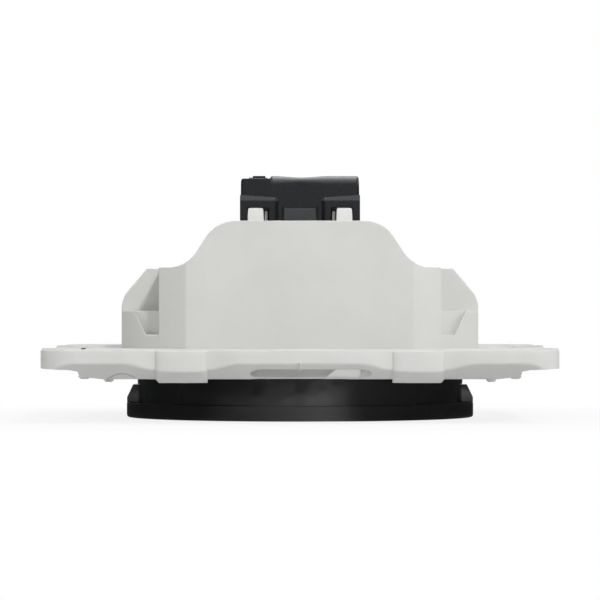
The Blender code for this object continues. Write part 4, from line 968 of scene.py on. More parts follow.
# %% Coupling lips
LIP_FOOT = 30.8
LIP_FOOT_LEVEL = FRAME_BACK - 0.02
LIP_TOP = 33.6
LIP_INSET = 0.12
LIP_SINK = 0.4
LIPS = (((-5.0, 0.23), (20.0, 0.0)), ((-30.0, 0.13), (-20.5, 0.06)))


def coupling_lip(side, start, end):
    """A lip along one side, from one (place, height) to another."""
    rings = []
    for share in np.linspace(0, 1, 16):
        along = start[0] + share * (end[0] - start[0])
        low, high = FRAME_BACK - LIP_SINK, FRAME_BACK + start[1] + share * (end[1] - start[1])
        edge = RIM_X - side_relief(along) - scallop(along) - LIP_INSET
        section = ((LIP_FOOT, low), (edge, low), (edge, high), (LIP_TOP, high), (LIP_FOOT, LIP_FOOT_LEVEL))
        rings.append([(side * x, along, z) for x, z in section])
    return loft("coupling lip", rings)


lips = [coupling_lip(side, start, end) for side in (-1, 1) for start, end in LIPS]
combine(frame_body, "UNION", gather("coupling lips", lips))
seat(frame_body, grey_abs, "housing", "grey_plastic", "support_frame")


# %% [markdown]
# ## The dark pin
# One dark spot shows on the frame's back near its left corner, over the outer nub: the end of a pin that
# is set in the moulding. It is a short loft of circles with a blunt tip that stands a little proud.

# %% Pin
PIN_AT = (-29.45, -28.8)
PIN_CIRCLES = ((-1.5, 0.32), (0.1, 0.32), (0.17, 0.26))  # heights over the frame's back, and radii
pin_rings = [[(x, y, FRAME_BACK + up) for x, y in circle(radius, PIN_AT, 24)] for up, radius in PIN_CIRCLES]
seat(loft("frame_pin", pin_rings), charcoal_pc, "housing", "charcoal_plastic")


# %% [markdown]
# ## The painted light in the notches
# In the near notch a paler slanting wall shows: a pool of light on the wall behind the bevel. That
# light is painted, as a wall in the same white grade as the cover lugs. It is a short loft of one
# slanting outline, and the far notch gets the same one, turned round.

# %% Painted light walls
LIT_WALL_OUTLINE = ((3.24, 0.04), (4.8, 1.36), (8.2, 1.36), (8.07, 0.04))  # along X, and up from the front
LIT_WALL_FACE = 32.9
LIT_WALL_ROOT = 31.6
LIT_WALL_LEAN = 0.45


def latch(sign):
    """A slanting wall behind the bevel, softened at its edges, whose pale finish paints a pool of light."""
    face, root = [], []
    for x, up in LIT_WALL_OUTLINE:
        face.append((-sign * x, sign * (LIT_WALL_FACE + LIT_WALL_LEAN * up), FRAME_FRONT + up))
        root.append((-sign * x, sign * LIT_WALL_ROOT, FRAME_FRONT + up))
    return soften(loft("latch", [root, face]), 0.1, 3, 30)


# These walls are painted light: their pale finish stands for a pool of light in each notch.
painted_light_walls = gather("notch_latches", [latch(sign) for sign in (-1, 1)])
seat(painted_light_walls, pale_abs, "housing", "pale_plastic")


# %% [markdown]
# ## Locating nubs
# Eight small blunt cones on the frame's front find their place in the cover plate. They repeat, so
# Geometry Nodes sets one cone on each of eight points. One of each pair is lower, so each point carries
# its own height.

# %% Trees
def new_tree(name, inputs):
    """A Geometry Nodes tree with named inputs. Returns the tree, its inputs' node and its output's node."""
    tree = bpy.data.node_groups.new(name, "GeometryNodeTree")
    tree.interface.new_socket("Geometry", in_out="INPUT", socket_type="NodeSocketGeometry")
    for label, kind in inputs.items():
        tree.interface.new_socket(label, in_out="INPUT", socket_type=f"NodeSocket{kind}")
    tree.interface.new_socket("Geometry", in_out="OUTPUT", socket_type="NodeSocketGeometry")
    return tree, tree.nodes.new("NodeGroupInput"), tree.nodes.new("NodeGroupOutput")


def grow(piece, tree, values):
    """Runs a tree on a piece with values for its named inputs, and keeps the result as a plain mesh."""
    modifier = piece.modifiers.new(tree.name, "NODES")
    modifier.node_group = tree
    for item in tree.interface.items_tree:
        if item.in_out == "INPUT" and item.name in values:
            modifier[item.identifier] = values[item.name]
    bake(piece)


# %% Nubs
NUB_PLACES = ((26.05, 28.0, 0.45), (29.35, 28.0, 0.05))  # places along X and Y, and heights
NUB_SINK = 0.3
nub_inputs = {"Tip radius": "Float", "Foot radius": "Float", "Finish": "Material"}
tree, given, result = new_tree("nubs", nub_inputs)
links = {"Radius Top": given.outputs["Foot radius"], "Radius Bottom": given.outputs["Tip radius"]}
cone = add_node(tree, "GeometryNodeMeshCone", sockets={"Vertices": 24, "Depth": 1.0}, links=links)
height = add_node(tree, "GeometryNodeInputNamedAttribute", {"data_type": "FLOAT"}, {"Name": "height"})
links = {"Z": height.outputs[0]}
stretch = add_node(tree, "ShaderNodeCombineXYZ", sockets={"X": 1.0, "Y": 1.0}, links=links)
links = {"Points": given.outputs["Geometry"], "Instance": cone.outputs["Mesh"], "Scale": stretch.outputs[0]}
copies = add_node(tree, "GeometryNodeInstanceOnPoints", links=links)
real = add_node(tree, "GeometryNodeRealizeInstances", links={"Geometry": copies.outputs[0]})
links = {"Geometry": real.outputs[0], "Material": given.outputs["Finish"]}
painted = add_node(tree, "GeometryNodeSetMaterial", links=links)
tree.links.new(painted.outputs[0], result.inputs[0])

nub_points = []
nub_heights = []
for x, y, tall in NUB_PLACES:
    for sign_x, sign_y in CORNERS:
        nub_points.append((sign_x * x * MM, sign_y * y * MM, (FRAME_FRONT - tall) * MM))
        nub_heights.append((tall + NUB_SINK) * MM)
nub_mesh = bpy.data.meshes.new("locating_nubs")
nub_mesh.from_pydata(nub_points, [], [])
nub_mesh.attributes.new("height", "FLOAT", "POINT").data.foreach_set("value", nub_heights)
nubs = link_mesh("locating_nubs", nub_mesh)
grow(nubs, tree, {"Tip radius": 0.5 * MM, "Foot radius": 0.95 * MM, "Finish": grey_abs})
soften(nubs, 0.14, 3, 40)
seat(nubs, grey_abs, "housing", "grey_plastic")


# %% [markdown]
# ## The housing's ridges
# Seen from the back the housing is a circle with four flats. Seen from the end it is a tall block with
# round crests and hollow shoulders, two lower wings with a chamfer, and four short posts in the corners.
# Each of these is a ridge: a profile drawn across X and run along Y. The ridges are joined first, and the
# plan then trims them all at once, so that their outer walls are one clean surface. The edges are rounded
# after that.

# %% Ridges
HOUSING_RIM = housing_low.z
HOUSING_BACK = housing_high.z - 1.8
HOUSING_EDGE = 0.16
WALL = 1.6
BLOCK_HALF = 19.5
BLOCK_FLAT = 4.4
SHOULDER = FRAME_BACK + 11.2
CREST = (8.8, HOUSING_BACK - 4.9, 4.9)  # a round's middle and radius
HOLLOW = (18.06, SHOULDER + 4.5, 4.5)
SLOPE = math.radians(57)
WING_BACK = SHOULDER - 0.1
WING_HALF_LENGTH = 13.6
WING_CHAMFER = (3.55, 4.2)  # how wide and how high
WING_ROUND = 4.0
WING_SPARE = 0.03  # what the plan trims off a wing's side, so that it ends flush with the posts
CORNER_LEDGE = FRAME_BACK + 5.2
POST_REACH = 30.0
POCKET_FLOOR = FRAME_BACK + 1.9
POCKET_SIDE = 18.0
POCKET_FOOT = 21.4
POCKET_TOP = 23.1  # where the pocket's slanting side meets the ledge, in a narrow tip that stays sharp
POCKET_BACK = (19.2, 15.9)  # how far out the pocket's back wall is at its inner side and at its tip


def block_profile(inset):
    """Right half of the block's back: flat, crest, slope, hollow and shoulder."""
    half = BLOCK_HALF - inset
    points = [(0.0, HOUSING_BACK - inset), (BLOCK_FLAT, HOUSING_BACK - inset)]
    points += arc(CREST[2] - inset, np.linspace(math.pi / 2, math.pi / 2 - SLOPE, 16), CREST)
    points += arc(HOLLOW[2] + inset, np.linspace(1.5 * math.pi - SLOPE, 1.5 * math.pi, 16), HOLLOW)
    return [point for point in points if point[0] < half - 0.05] + [(half, SHOULDER - inset)]


def wing_profile(inset):
    """Right half of the wings: flat, chamfer and a round shoulder."""
    half, top = HOUSING_HALF_X + WING_SPARE - inset, WING_BACK - inset
    wide, high = WING_CHAMFER
    slope = math.atan2(high, wide)
    middle = (half - WING_ROUND, top - high - WING_ROUND * math.tan((math.pi / 2 - slope) / 2))
    shoulder = arc(WING_ROUND, np.linspace(math.pi / 2 - slope, 0, 12), middle)
    return [(0.0, top), (half - wide, top)] + shoulder


def ridge(name, half_profile, half_length, floor):
    """A closed ridge along Y under a profile that is given as its right half."""
    right = half_profile + [(half_profile[-1][0], floor)]
    profile = [(-x, z) for x, z in reversed(right)] + right[1:]
    return loft(name, [[(x, y, z) for x, z in profile] for y in (-half_length, half_length)])


def corner_pocket(sign_x, sign_y):
    """The pocket between block and post. It widens to the back, and its back wall follows the round wall."""
    outline = [(POCKET_SIDE, POCKET_FLOOR), (POCKET_FOOT, POCKET_FLOOR), (POCKET_TOP, CORNER_LEDGE)]
    outline += [(POCKET_TOP, SHOULDER), (POCKET_SIDE, SHOULDER)]
    back = []
    for x, z in outline:
        y = np.interp(x, (POCKET_SIDE, POCKET_TOP), POCKET_BACK)
        back.append((sign_x * x, sign_y * y, z))
    return loft("pocket", [back, [(x, sign_y * BEYOND, z) for x, _, z in back]])


block = ridge("housing_shell", block_profile(0), BEYOND, HOUSING_RIM - 1)
wings = ridge("wings", wing_profile(0), WING_HALF_LENGTH, HOUSING_RIM - 2)
posts = ridge("posts", [(0.0, CORNER_LEDGE), (POST_REACH, CORNER_LEDGE)], BEYOND, HOUSING_RIM - 3)
combine(posts, "DIFFERENCE", gather("pockets", [corner_pocket(*signs) for signs in CORNERS]))
combine(block, "UNION", posts, wings)
combine(block, "INTERSECT", prism("plan", housing_plan(0), (HOUSING_RIM, HOUSING_BACK + 5)))
print("housing outside:", len(block.data.polygons), "faces,", open_edges(block), "open edges")


# %% Rounded corners
FLAT_ANGLE = 0.001
CORNER_ANGLE = math.radians(24)
TIP_CLOSE = 0.01  # how close to the pocket's tip an edge counts as part of it


def slimness(face):
    """About how wide a face is: its area over its longest side."""
    return face.calc_area() / max(side.calc_length() for side in face.edges)


def round_outside(piece, width, floor):
    """Rounds the outer corners of a joined solid, except along its floor and at the pockets' tips."""
    shape = bmesh.new()
    shape.from_mesh(piece.data)
    bmesh.ops.dissolve_limit(shape, angle_limit=FLAT_ANGLE, verts=shape.verts, edges=shape.edges)
    weights = shape.edges.layers.float.new("bevel_weight_edge")
    for edge in shape.edges:
        low = max(vertex.co.z for vertex in edge.verts) < floor * MM
        slim = min(slimness(face) for face in edge.link_faces)
        tip = all(abs(abs(vertex.co.x) - POCKET_TOP * MM) < TIP_CLOSE * MM for vertex in edge.verts)
        if edge.is_convex and not low and not tip and slim > width * MM:
            edge[weights] = float(edge.calc_face_angle() > CORNER_ANGLE)
    shape.to_mesh(piece.data)
    shape.free()
    modifier = piece.modifiers.new("moulded edge", "BEVEL")
    modifier.width = width * MM
    modifier.segments = 4
    modifier.limit_method = "WEIGHT"
    modifier.use_clamp_overlap = False
    bake(piece)


round_outside(block, HOUSING_EDGE, HOUSING_RIM + 0.1)
print("housing rounded:", len(block.data.polygons), "faces,", open_edges(block), "open edges")


# %% [markdown]
# ## The housing's inside
# The shell is 1.6 mm thick, so the same two profiles, moved in by the wall, cut the hollow. Screw bosses
# and board posts stand on the back wall inside, and a tub below the middle of the back wall holds the bus
# terminal.

# %% Hollow, bosses and tub
WELL_HALF = (6.2, 5.3)
WELL_FLOOR = HOUSING_BACK - 4.8
TUB_WALL = 1.0
TUB_CORNER = 0.8
BOARD_POST_AT = (7.5, 17.5)
# Name, radius, place and foot of the columns, which stand in all four quarters.
COLUMNS = (("boss", 2.4, (SCREW_AT, SCREW_AT), HOUSING_RIM), ("board post", 1.3, BOARD_POST_AT, 21.8))


def back_height(x):
    """The height of the block's back at a distance from the middle."""
    xs, zs = zip(*block_profile(0))
    return float(np.interp(abs(x), xs, zs))


def column(name, radius, centre, low):
    """A round column whose top follows the back wall, from inside."""
    ring = circle(radius, centre, 28)
    top = [(x, y, back_height(x) - WALL / 2) for x, y in ring]
    return loft(name, [[(x, y, low) for x, y in ring], top])


below = HOUSING_RIM - PAST
hollow = ridge("hollow", block_profile(WALL), BEYOND, below)
combine(hollow, "UNION", ridge("wing hollow", wing_profile(WALL), WING_HALF_LENGTH - WALL, below - 1))
combine(hollow, "INTERSECT", prism("inner plan", housing_plan(-WALL), (below + 0.5, HOUSING_BACK)))
combine(block, "DIFFERENCE", hollow)
columns = []
for name, radius, (x, y), low in COLUMNS:
    columns += [column(name, radius, (sign_x * x, sign_y * y), low) for sign_x, sign_y in CORNERS]
tub = rounded_rectangle(WELL_HALF[0] + TUB_WALL, WELL_HALF[1] + TUB_WALL, TUB_CORNER)
columns.append(prism("tub", tub, (WELL_FLOOR - TUB_WALL, HOUSING_BACK - WALL / 2)))
combine(block, "UNION", gather("columns", columns))
print("housing with its inside:", len(block.data.polygons), "faces,", open_edges(block), "open edges")


# %% Well and holes
WELL_CORNER = 0.4
BUTTON_AT = 15.5
LAMP_AT = 5.0
BACK_HOLES = ((0.0, 1.9), (LAMP_AT, 1.3))  # places along X and radii, for the button and the lamp
PILOT_DEPTH = 4.5
BUS_PIN_AT = 2.95
BUS_PIN_WAY = 0.8
BUS_PIN_LEVELS = (20.0, 24.0)
RIB_AT = (4.75, 9.53)
RIB_HALF = (0.2, 0.1)
RIB_CORNER = 0.06
RIB_LEVELS = (-0.4, 1.6)


def back_levels(floor):
    """Levels of a blind hole from the back, with a chamfer at its mouth."""
    return [(floor, 0), (HOUSING_BACK - MOUTH, 0), (HOUSING_BACK, MOUTH), (HOUSING_BACK + PAST, MOUTH)]


def lug_rib(sign_x, sign_y):
    """The thin rib beside a cover lug, which shows as a grey line in the hood's notch."""
    outline = rounded_rectangle(*RIB_HALF, RIB_CORNER, RIB_AT, 4)
    rings = [[(sign_x * x, sign_y * y, HOUSING_BACK + up) for x, y in outline] for up in RIB_LEVELS]
    return loft("lug rib", rings)


wells = [flared("well", growing_rectangle(*WELL_HALF, WELL_CORNER), back_levels(WELL_FLOOR))]
for x, radius in BACK_HOLES:
    hole = growing_circle(radius, (x, BUTTON_AT), 40)
    wells.append(flared("back hole", hole, back_levels(HOUSING_BACK - WALL - 0.5)))
for sign_x, sign_y in CORNERS:
    pilot = circle(SCREW_WAY, (sign_x * SCREW_AT, sign_y * SCREW_AT), 24)
    wells.append(prism("pilot", pilot, (below, HOUSING_RIM + PILOT_DEPTH)))
combine(block, "DIFFERENCE", gather("wells", wells))
pin_ways = [circle(BUS_PIN_WAY, (side * BUS_PIN_AT, 0.0), 20) for side in (-1, 1)]
pin_holes = [prism("pin hole", pin_way, BUS_PIN_LEVELS) for pin_way in pin_ways]
combine(block, "DIFFERENCE", gather("pin holes", pin_holes))
combine(block, "UNION", gather("lug ribs", [lug_rib(*signs) for signs in CORNERS]))
seat(block, grey_abs, "housing", "grey_plastic", "rear_housing")


# %% [markdown]
# ## The cover lugs
# Four upright lugs on the back wall hold the hood. They are paler than the housing, in a whiter grade.
# They taper towards the top, as the mould needs, so each is a loft of rings that draw in.

# %% Cover lugs
COVER_LUG_AT = (6.24, 10.2)
COVER_LUG_HALF = (1.15, 0.7)
COVER_LUG_CORNER = 0.14
# Heights over the back wall, and how far a lug draws in along X and along Y.
COVER_LUG_RINGS = ((-0.4, 0.0, 0.0), (0.9, 0.03, 0.0), (1.84, 0.09, 0.02), (1.98, 0.15, 0.06))
COVER_LUG_RINGS += ((2.04, 0.27, 0.14),)


def cover_lug(sign_x, sign_y):
    """A tapered lug, from rings that draw in towards its top."""
    rings = []
    for up, draw_x, draw_y in COVER_LUG_RINGS:
        half_x, half_y = COVER_LUG_HALF[0] - draw_x, COVER_LUG_HALF[1] - draw_y
        outline = rounded_rectangle(half_x, half_y, COVER_LUG_CORNER, COVER_LUG_AT, 5)
        rings.append([(sign_x * x, sign_y * y, HOUSING_BACK + up) for x, y in outline])
    return loft("cover lug", rings)


lug_set = gather("cover_lugs", [cover_lug(*signs) for signs in CORNERS])
seat(lug_set, pale_abs, "housing", "pale_plastic")


# %% [markdown]
# ## The hood
# The charcoal hood is a box with a rounded back, open below. Its sides lean in slightly, its back dips in
# the middle where a thumb presses, and at the left it steps down beside a small block for a cable tie. A
# loft along X carries all of that, because each ring can have its own height. The hollow is a second,
# smaller loft.

# %% Hood body
hood_low, hood_high = cad_box("cable_cover")
HOOD_LOW = hood_low.z
HOOD_TOP = hood_high.z
HOOD_HALF_X = hood_high.x - 0.04
HOOD_HALF_Y = 10.2
HOOD_ROUND = 1.6
HOOD_SHARP = 0.1  # the smaller rounding on the stepped part
HOOD_WALL = 1.2
HOOD_DRAFT = 0.012
HOOD_SPARE = 0.3  # what is trimmed off below
DIP_MIDDLE = 0.2
DIP_HALF = 4.0
DIP_DEPTH = 0.22
DIP_TIGHT = 0.6  # how much tighter the rounding is in the dip
STEP_AT = -4.4
STEP_RUN = 0.4
STEP_ROUND_RUN = 0.5
STEP_DEPTH = 0.38
END_STEPS = ((0.0, 0.4), (0.03, 0.26), (0.1, 0.13), (0.22, 0.04), (0.4, 0.0))  # the rounding at each end


def hood_height(x):
    """The height of the hood's back at a place along X, with the dip and the step."""
    dip = DIP_DEPTH * 0.5 * (1 + math.cos(math.pi * min(abs(x - DIP_MIDDLE) / DIP_HALF, 1.0)))
    return HOOD_TOP - dip - STEP_DEPTH * (1 - s_curve((x - STEP_AT) / STEP_RUN))


def hood_rounding(x):
    """The radius of the back's long edges at a place along X."""
    hollow = DIP_TIGHT * s_curve(1 - abs(x - DIP_MIDDLE) / DIP_HALF)
    return HOOD_SHARP + (HOOD_ROUND - HOOD_SHARP - hollow) * s_curve((x - STEP_AT) / STEP_ROUND_RUN)


def hood_ring(x, top, half, radius, low):
    """One ring of the hood at a place along X: up one side, over the rounded back and down the other."""
    climb = [(-half, low)]
    for a in np.linspace(math.pi, math.pi / 2, 10):
        climb.append((-half + radius * (1 + math.cos(a)), top - radius * (1 - math.sin(a))))
    ring = climb + [(-y, z) for y, z in reversed(climb)]
    lean = HOOD_DRAFT / (HOOD_TOP - HOOD_LOW)
    return [(x * (1 - lean * max(z - HOOD_LOW, 0.0)), y, z) for y, z in ring]


stations = [(-HOOD_HALF_X + step, inset) for step, inset in END_STEPS]
for start, end, step in ((-7.6, -5.1, 0.4), (-4.5, -3.75, 0.05), (-3.6, 7.8, 0.3)):
    stations += [(x, 0.0) for x in np.arange(start, end, step)]
stations += [(HOOD_HALF_X - step, inset) for step, inset in reversed(END_STEPS)]
rings = []
for x, inset in stations:
    top, half = hood_height(x) - inset, HOOD_HALF_Y - inset
    rings.append(hood_ring(x, top, half, hood_rounding(x), HOOD_LOW - HOOD_SPARE))
hood = loft("cable_hood", rings)
print("hood:", len(rings), "rings")


# %% [markdown]
# ## Pads, tongues and notches on the hood
# At each end two thick pads stand proud, with a sloping top edge that widens outwards, and between them a
# springy tongue with a slit on each side. The pads have notches for the cover lugs. The cable leaves
# through an opening at the left side. All four pads are the same loft, mirrored.

# %% Pads and tongues
PAD_INNER = 3.55
PAD_OUTER = hood_high.x
PAD_PROUD = 0.42
PAD_ROOT = HOOD_HALF_Y - 0.6
PAD_FOOT = HOOD_LOW - 0.6
PAD_CREASE = HOOD_LOW + 2.76
PAD_BAND = HOOD_LOW + 3.3
PAD_RISE = 0.33  # how much higher the band ends at the outer side
PAD_CHAMFER = 0.55
TONGUE_HALF = 2.36
TONGUE_ROOT = 9.7
TONGUE_FOOT = HOOD_LOW - 0.8
TONGUE_TOP = HOOD_LOW + 1.75
TONGUE_PROUD = (1.2, 0.04)  # how far it stands out at its foot and at its top


def hood_pad(sign_x, sign_y):
    """A thick pad with a sloping top band and a chamfer at its inner side."""
    rings = []
    for x in (PAD_INNER - PAD_CHAMFER, PAD_INNER, PAD_OUTER):
        band = PAD_BAND + PAD_RISE * (x - PAD_INNER) / (PAD_OUTER - PAD_INNER)
        face = HOOD_HALF_Y + (PAD_PROUD if x >= PAD_INNER else 0.0)
        ring = [(PAD_ROOT, PAD_FOOT), (face, PAD_FOOT), (face, PAD_CREASE)]
        ring += [(HOOD_HALF_Y - 0.02, band), (PAD_ROOT, band)]
        rings.append([(sign_x * x, sign_y * y, z) for y, z in ring])
    return soften(loft("hood pad", rings), 0.12, 4, 20)


def hood_tongue(sign_y):
    """A springy tongue that leans outwards at its foot."""
    low_edge, high_edge = (HOOD_HALF_Y + proud for proud in TONGUE_PROUD)
    side = [(TONGUE_ROOT, TONGUE_FOOT), (low_edge, TONGUE_FOOT)]
    side += [(high_edge, TONGUE_TOP), (TONGUE_ROOT, TONGUE_TOP)]
    rings = [[(x, sign_y * y, z) for y, z in side] for x in (-TONGUE_HALF, TONGUE_HALF)]
    return soften(loft("tongue", rings), 0.2, 4, 30)


combine(hood, "UNION", gather("pads", [hood_pad(*signs) for signs in CORNERS]))
combine(hood, "UNION", gather("tongues", [hood_tongue(sign) for sign in (-1, 1)]))
print("hood with pads:", open_edges(hood), "open edges")


# %% Hollow, notches and slits
INNER_ROUND = 0.5
COVER_NOTCH_AT = (5.9, 11.4)
COVER_NOTCH_HALF = (1.56, 2.0)
COVER_NOTCH_CORNER = 0.2
COVER_NOTCH_RINGS = ((-PAST, 0), (1.7, 0), (1.86, 0.12))  # heights, and how far the sides draw in
SLIT_X = (2.32, 2.52)
SLIT_Y = (9.4, 12.5)
SLIT_TOP = HOOD_LOW + 1.9
OUTLET_HALF = (2.5, 5.3)
OUTLET_CORNER = 1.2
OUTLET_MIDDLE = (0.0, -1.0)
OUTLET_X = (-12.0, -6.0)
TRIM_HALF = 20.0
TRIM_DEPTH = 5


def notch(sign_x, sign_y):
    """The notch for a cover lug, wider on the inner side."""
    rings = []
    for up, draw in COVER_NOTCH_RINGS:
        half_x, half_y = COVER_NOTCH_HALF[0] - draw, COVER_NOTCH_HALF[1]
        outline = rounded_rectangle(half_x, half_y, COVER_NOTCH_CORNER, COVER_NOTCH_AT, 5)
        rings.append([(sign_x * x, sign_y * y, HOOD_LOW + up) for x, y in outline])
    return loft("notch", rings)


def slit(sign_x, sign_y):
    """The slit beside a tongue."""
    near, far = sorted(sign_x * x for x in SLIT_X)
    start, end = sorted(sign_y * y for y in SLIT_Y)
    return block_cutter("slit", (near, start, HOOD_LOW - PAST), (far, end, SLIT_TOP))


half_x, half_y, roof = HOOD_HALF_X - HOOD_WALL, HOOD_HALF_Y - HOOD_WALL, HOOD_TOP - HOOD_WALL
inner = [hood_ring(x, roof, half_y, INNER_ROUND, HOOD_LOW - PAST) for x in (-half_x, half_x)]
combine(hood, "DIFFERENCE", loft("hood hollow", inner))
print("hood hollowed:", open_edges(hood), "open edges")
combine(hood, "DIFFERENCE", gather("notches", [notch(*signs) for signs in CORNERS]))
combine(hood, "DIFFERENCE", gather("slits", [slit(*signs) for signs in CORNERS]))
outlet = [(y, HOOD_LOW + up) for y, up in rounded_rectangle(*OUTLET_HALF, OUTLET_CORNER, OUTLET_MIDDLE)]
combine(hood, "DIFFERENCE", loft("outlet", [[(x, y, z) for y, z in outlet] for x in OUTLET_X]))
trim_low, trim_high = (-TRIM_HALF, -TRIM_HALF, HOOD_LOW - TRIM_DEPTH), (TRIM_HALF, TRIM_HALF, HOOD_LOW)
combine(hood, "DIFFERENCE", block_cutter("trim", trim_low, trim_high))
print("hood cut:", open_edges(hood), "open edges")


# %% Tie block
TIE_AT = (-5.78, -7.6)
TIE_HALF = (0.9, 1.5)
TIE_CORNER = 0.15
TIE_LEVELS = ((1.1, 0), (0.08, 0), (0.0, 0.08))  # depths below the hood's top, and how far the sides draw in
TIE_BASE_AT = (-5.92, -7.7)
TIE_BASE_HALF = (1.3, 1.9)
TIE_BASE_CORNER = 0.2
TIE_BASE_LEVELS = (HOOD_TOP - 1.15, HOOD_TOP - (STEP_DEPTH - 0.13))
tie = rounded_rectangle(*TIE_HALF, TIE_CORNER, TIE_AT, 4)
tie_rings = [[(x + (TIE_AT[0] - x) * draw, y, HOOD_TOP - down) for x, y in tie] for down, draw in TIE_LEVELS]
combine(hood, "UNION", loft("tie block", tie_rings))
base_outline = rounded_rectangle(*TIE_BASE_HALF, TIE_BASE_CORNER, TIE_BASE_AT, 4)
tie_base = soften(prism("tie base", base_outline, TIE_BASE_LEVELS), 0.05, 2, 30)
combine(hood, "UNION", tie_base)
seat(hood, charcoal_pc, "cover", "charcoal_plastic", "cable_cover")


# %% [markdown]
# ## The dial
# The cap is a turned disc, and behind it sits a thin drum with two grip lugs at its sides. Both are the
# same round profile all the way round, so they are lofts of circles. Inside the drum six ribs run from
# the hub to the wall: they repeat round the axis, so Geometry Nodes copies one bar six times and joins
# the copies to the drum.

# %% Cap and pointer
cap_high = cad_box("dial_cap")[1]
pointer_low, pointer_high = cad_box("pointer_inlay")
CAP_RADIUS = cap_high.x
CAP_BACK = cap_high.z
CAP_FILLET = 0.35
CAP_BACK_FILLET = 0.02
GROOVE_PLAY = 0.05
GROOVE_CORNER = 0.5
POINTER_CORNER = 0.45
POINTER_LEVELS = ((0.0, -0.1), (0.03, -0.04), (0.1, 0.0), (pointer_high.z, 0.0))


def turned(name, profile, steps=160):
    """A round piece from (radius, height) points, closed at both ends."""
    return loft(name, [[(x, y, z) for x, y in circle(radius, steps=steps)] for radius, z in profile])


def rounded_end(radius, level, fillet, rising):
    """Points of a fillet at the end of a turned piece, from the face to the side or back."""
    points = []
    for a in np.linspace(0, math.pi / 2, 6):
        inset, depth = fillet * (1 - math.sin(a)), fillet * (1 - math.cos(a))
        points.append((radius - inset, level + depth if rising else level - depth))
    return points if rising else points[::-1]


cap_profile = rounded_end(CAP_RADIUS, 0.0, CAP_FILLET, True)
cap_profile += rounded_end(CAP_RADIUS, CAP_BACK, CAP_BACK_FILLET, False)
cap = turned("dial_disc", cap_profile)
half_x, half_y, _ = (pointer_high - pointer_low) / 2
middle = ((pointer_high + pointer_low) / 2).to_tuple()[:2]
groove = rounded_rectangle(half_x + GROOVE_PLAY, half_y + GROOVE_PLAY, GROOVE_CORNER, middle)
combine(cap, "DIFFERENCE", prism("groove", groove, (-PAST, pointer_high.z + GROOVE_PLAY)))
seat(cap, black_abs, "dial", "black_plastic", "dial_cap")
bar = flared("pointer_bar", growing_rectangle(half_x, half_y, POINTER_CORNER, middle), POINTER_LEVELS)
seat(bar, pale_abs, "dial", "pale_plastic", "pointer_inlay")


# %% Ribs
RIB_SIZES = ("Rib length", "Rib width", "Rib height")
rib_inputs = {"Count": "Int"} | {name: "Float" for name in RIB_SIZES}
rib_inputs |= {"Level": "Float", "Finish": "Material"}
tree, given, result = new_tree("ribs", rib_inputs)
links = {axis: given.outputs[size] for axis, size in zip("XYZ", RIB_SIZES)}
size = add_node(tree, "ShaderNodeCombineXYZ", links=links)
rib_bar = add_node(tree, "GeometryNodeMeshCube", links={"Size": size.outputs[0]})
links = {0: given.outputs["Rib length"]}
half_length = add_node(tree, "ShaderNodeMath", {"operation": "MULTIPLY"}, {1: 0.5}, links)
links = {"X": half_length.outputs[0], "Z": given.outputs["Level"]}
shift = add_node(tree, "ShaderNodeCombineXYZ", links=links)
links = {"Geometry": rib_bar.outputs["Mesh"], "Translation": shift.outputs[0]}
moved = add_node(tree, "GeometryNodeTransform", links=links)
spots = add_node(tree, "GeometryNodePoints", links={"Count": given.outputs["Count"]})
number = add_node(tree, "GeometryNodeInputIndex")
later = add_node(tree, "ShaderNodeMath", {"operation": "ADD"}, {1: 0.5}, {0: number.outputs[0]})
links = {0: later.outputs[0], 1: given.outputs["Count"]}
part = add_node(tree, "ShaderNodeMath", {"operation": "DIVIDE"}, links=links)
turn = add_node(tree, "ShaderNodeMath", {"operation": "MULTIPLY"}, {1: 2 * math.pi}, {0: part.outputs[0]})
heading = add_node(tree, "ShaderNodeCombineXYZ", links={"Z": turn.outputs[0]})
links = {"Points": spots.outputs[0], "Instance": moved.outputs[0], "Rotation": heading.outputs[0]}
copies = add_node(tree, "GeometryNodeInstanceOnPoints", links=links)
real = add_node(tree, "GeometryNodeRealizeInstances", links={"Geometry": copies.outputs[0]})
exact_union = {"operation": "UNION", "solver": "EXACT"}
join = add_node(tree, "GeometryNodeMeshBoolean", exact_union, {"Self Intersection": True})
tree.links.new(given.outputs["Geometry"], join.inputs["Mesh 2"])
tree.links.new(real.outputs[0], join.inputs["Mesh 2"])
links = {"Geometry": join.outputs["Mesh"], "Material": given.outputs["Finish"]}
painted = add_node(tree, "GeometryNodeSetMaterial", links=links)
tree.links.new(painted.outputs[0], result.inputs[0])
print("rib tree has", len(tree.nodes), "nodes")


# %% Drum
drum_low, drum_high = cad_box("dial_body")
DRUM_RADIUS = 23.25
DRUM_INSIDE = DRUM_RADIUS - 1.5
DRUM_START = CAP_BACK + 0.005
DRUM_END = drum_high.z
DRUM_START_FILLET = 0.01
DRUM_END_FILLET = 0.2
WEB = drum_low.z + 1.0
HUB_RADIUS = 5.2
HUB_END = 4.5
GRIP_ROOT = 22.5
GRIP_REACH = 24.67
GRIP_HIP = DRUM_START + 0.75
GRIP_END = (23.8, 4.68)
GRIP_HALF = 3.0
RIB_COUNT = 6
RIB_OVERLAP = 0.4
RIB_WIDTH = 1.0
BORE_RADIUS = 3.3
BORE_FLAT = 1.8


def grip(side):
    """A small lug at the drum's side, which slopes in towards the back."""
    outline = [(GRIP_ROOT, DRUM_START), (GRIP_REACH, DRUM_START), (GRIP_REACH, GRIP_HIP)]
    outline += [GRIP_END, (GRIP_ROOT, GRIP_END[1])]
    rings = [[(side * x, y, z) for x, z in outline] for y in (-GRIP_HALF, GRIP_HALF)]
    return soften(loft("grip", rings), 0.1, 3, 30)


